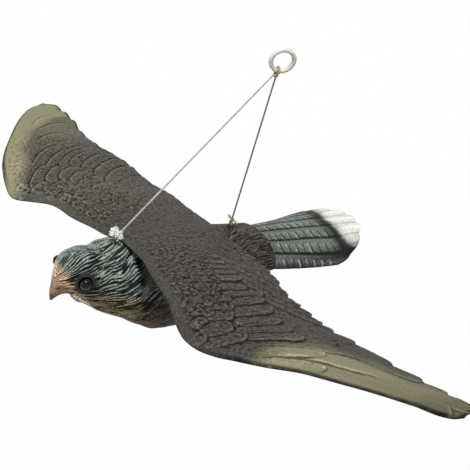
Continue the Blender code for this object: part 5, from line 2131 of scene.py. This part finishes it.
def build_bridle(bridle: Bridle, looks: dict[str, Look]) -> None:
    """Build the cords, knots and hitch from brown, tan, pale and white twine."""
    laid, frayed = TwineTree(), FrayTree()
    along = np.array(HANG.ring_axes()[0])
    hitch = np.array(HANG.hitch_world)
    t = np.linspace(0, 2 * math.pi * 2.0, 90)
    side = np.cross(along, (0.0, 0.0, 1.0))
    side /= np.linalg.norm(side)
    upward = np.cross(side, along)
    coil = hitch + bridle.hitch_reach * (np.cos(t)[:, None] * side + np.sin(t)[:, None] * upward)
    coil += along * (np.linspace(-0.9, 0.9, 90) * bridle.cord_radius)[:, None]
    knot_place = Vector(hitch) - Vector((0, 0, bridle.hitch_reach + bridle.hitch_drop))
    tie = bridle.trefoil(
        knot_place, bridle.hitch_knot, Matrix.Rotation(0.6, 4, "X") @ Matrix.Rotation(0.4, 4, "Y"),
    )
    ring_hitch = laid.lay("twine_hitch", [coil, tie], looks["tan"])
    attach(ring_hitch, Body.HITCH, Slot.TWINE, "ring_hitch")
    for name, back, size, look, slot in (
        ("front", 0.0, 0.0023, looks["white"], Slot.PALE_TWINE),
        ("rear", bridle.rear_back, 0.0017, looks["tan"], Slot.TWINE),
    ):
        route = bridle.leg(back, size)
        cord = laid.lay(f"{name}_twine", [route], looks["pale" if name == "front" else "brown"])
        attach(cord, Body.BRIDLE, Slot.TWINE, f"{name}_cord")
        middle = bridle.knot(back, size)
        tilt = Matrix.Rotation(0.5, 4, "X")
        body = [
            HANG.world(bridle.trefoil(middle, size * 0.95, tilt)), HANG.world(bridle.loop(back, 0.0018)),
        ]
        knot = laid.lay(f"{name}_tied_knot", body, look)
        attach(knot, Body.BRIDLE, slot, f"{name}_knot")
        if name == "front":
            aims = (
                ((-1.0, -0.35, 0.35), 0.0072),
                ((-0.55, -0.60, -0.10), 0.0058), ((0.25, -1.0, 0.35), 0.0072),
                ((0.95, -0.30, 0.20), 0.0064), ((-0.35, -0.35, 1.0), 0.0068), ((0.70, -0.20, 0.80), 0.0056),
            )
        else:
            aims = (((1.0, 0.35, -0.15), 0.0048), ((-0.85, -0.30, 0.40), 0.0046))
        ends = []
        for aim, length in aims:
            run = Vector(aim).normalized() * length
            ends.append(HANG.world(np.array([middle + run * (k / 7) for k in range(8)])))
        sizes = dict(fibres=24, fibre_radius=0.00034, spread=0.0018) if name == "front" else {}
        fray = frayed.fan(f"{name}_frayed_ends", ends, look, **sizes)
        attach(fray, Body.BRIDLE, slot)
        length = float(np.sum(np.linalg.norm(np.diff(route, axis=0), axis=1)))


def main() -> None:
    """Build the pieces in order."""
    logging.basicConfig(level=logging.INFO, format="%(name)s: %(message)s")
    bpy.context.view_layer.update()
    Studio().build()
    kit = ShaderKit()
    twines = {
        "brown": TwineFinish("brown_twine", (0.30, 0.265, 0.21), (0.09, 0.075, 0.05)),
        "tan": TwineFinish("tan_twine", (0.56, 0.46, 0.29), (0.24, 0.18, 0.10)),
        "pale": TwineFinish("pale_twine", (0.78, 0.76, 0.69), (0.22, 0.19, 0.14)),
        "white": TwineFinish("white_twine", (0.97, 0.97, 0.96), (0.93, 0.93, 0.91)),
    }
    build_bridle(Bridle(), {name: twine.material(kit) for name, twine in twines.items()})

    ring = RingTree().build(
        MilkyFinish("milky_ring_plastic", (0.68, 0.675, 0.615), (0.63, 0.625, 0.565)).material(kit)
    )
    attach(ring, Body.HANGER, Slot.RING, "hanging_ring")

    trunk = Trunk()
    plumage = kit.painted(BACK_FINISH)
    for piece, slot, node in zip(trunk.build(), (Slot.BACK, Slot.BELLY), ("back_shell", "belly_shell")):
        piece.data.materials.append(plumage)
        attach(piece, Body.BIRD, slot, node)

    wing_look = kit.painted(WING_FINISH)
    for side, body in ((Side.LEFT, Body.LEFT_WING), (Side.RIGHT, Body.RIGHT_WING)):
        wing = Wing(side, trunk).build()
        wing.data.materials.append(wing_look)
        attach(wing, body, Slot.WING, f"{side.word}_wing")

    tail = Tail().build()
    tail.data.materials.append(kit.painted(TAIL_FINISH))
    attach(tail, Body.BIRD, Slot.TAIL, "tail_fan")

    gloss = GlossFinish().material(kit)
    for side in Side:
        eye = Eye(trunk, side).build()
        eye.data.materials.append(gloss)
        attach(eye, Body.BIRD, Slot.EYE, f"{side.word}_eye")

    steel = WireFinish().material(kit)
    clear = MilkyFinish("clear_washer_plastic", (0.62, 0.62, 0.60), (0.52, 0.52, 0.50), 0.4).material(kit)
    for names, look in (
        (("front_eyelet", "rear_eyelet"), steel), (("left_eye_washer", "right_eye_washer"), clear),
    ):
        for name in names:
            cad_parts[name].data.materials.clear()
            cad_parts[name].data.materials.append(look)
            LOG.info("%s keeps its shape", name)


if __name__ == "__main__":
    main()
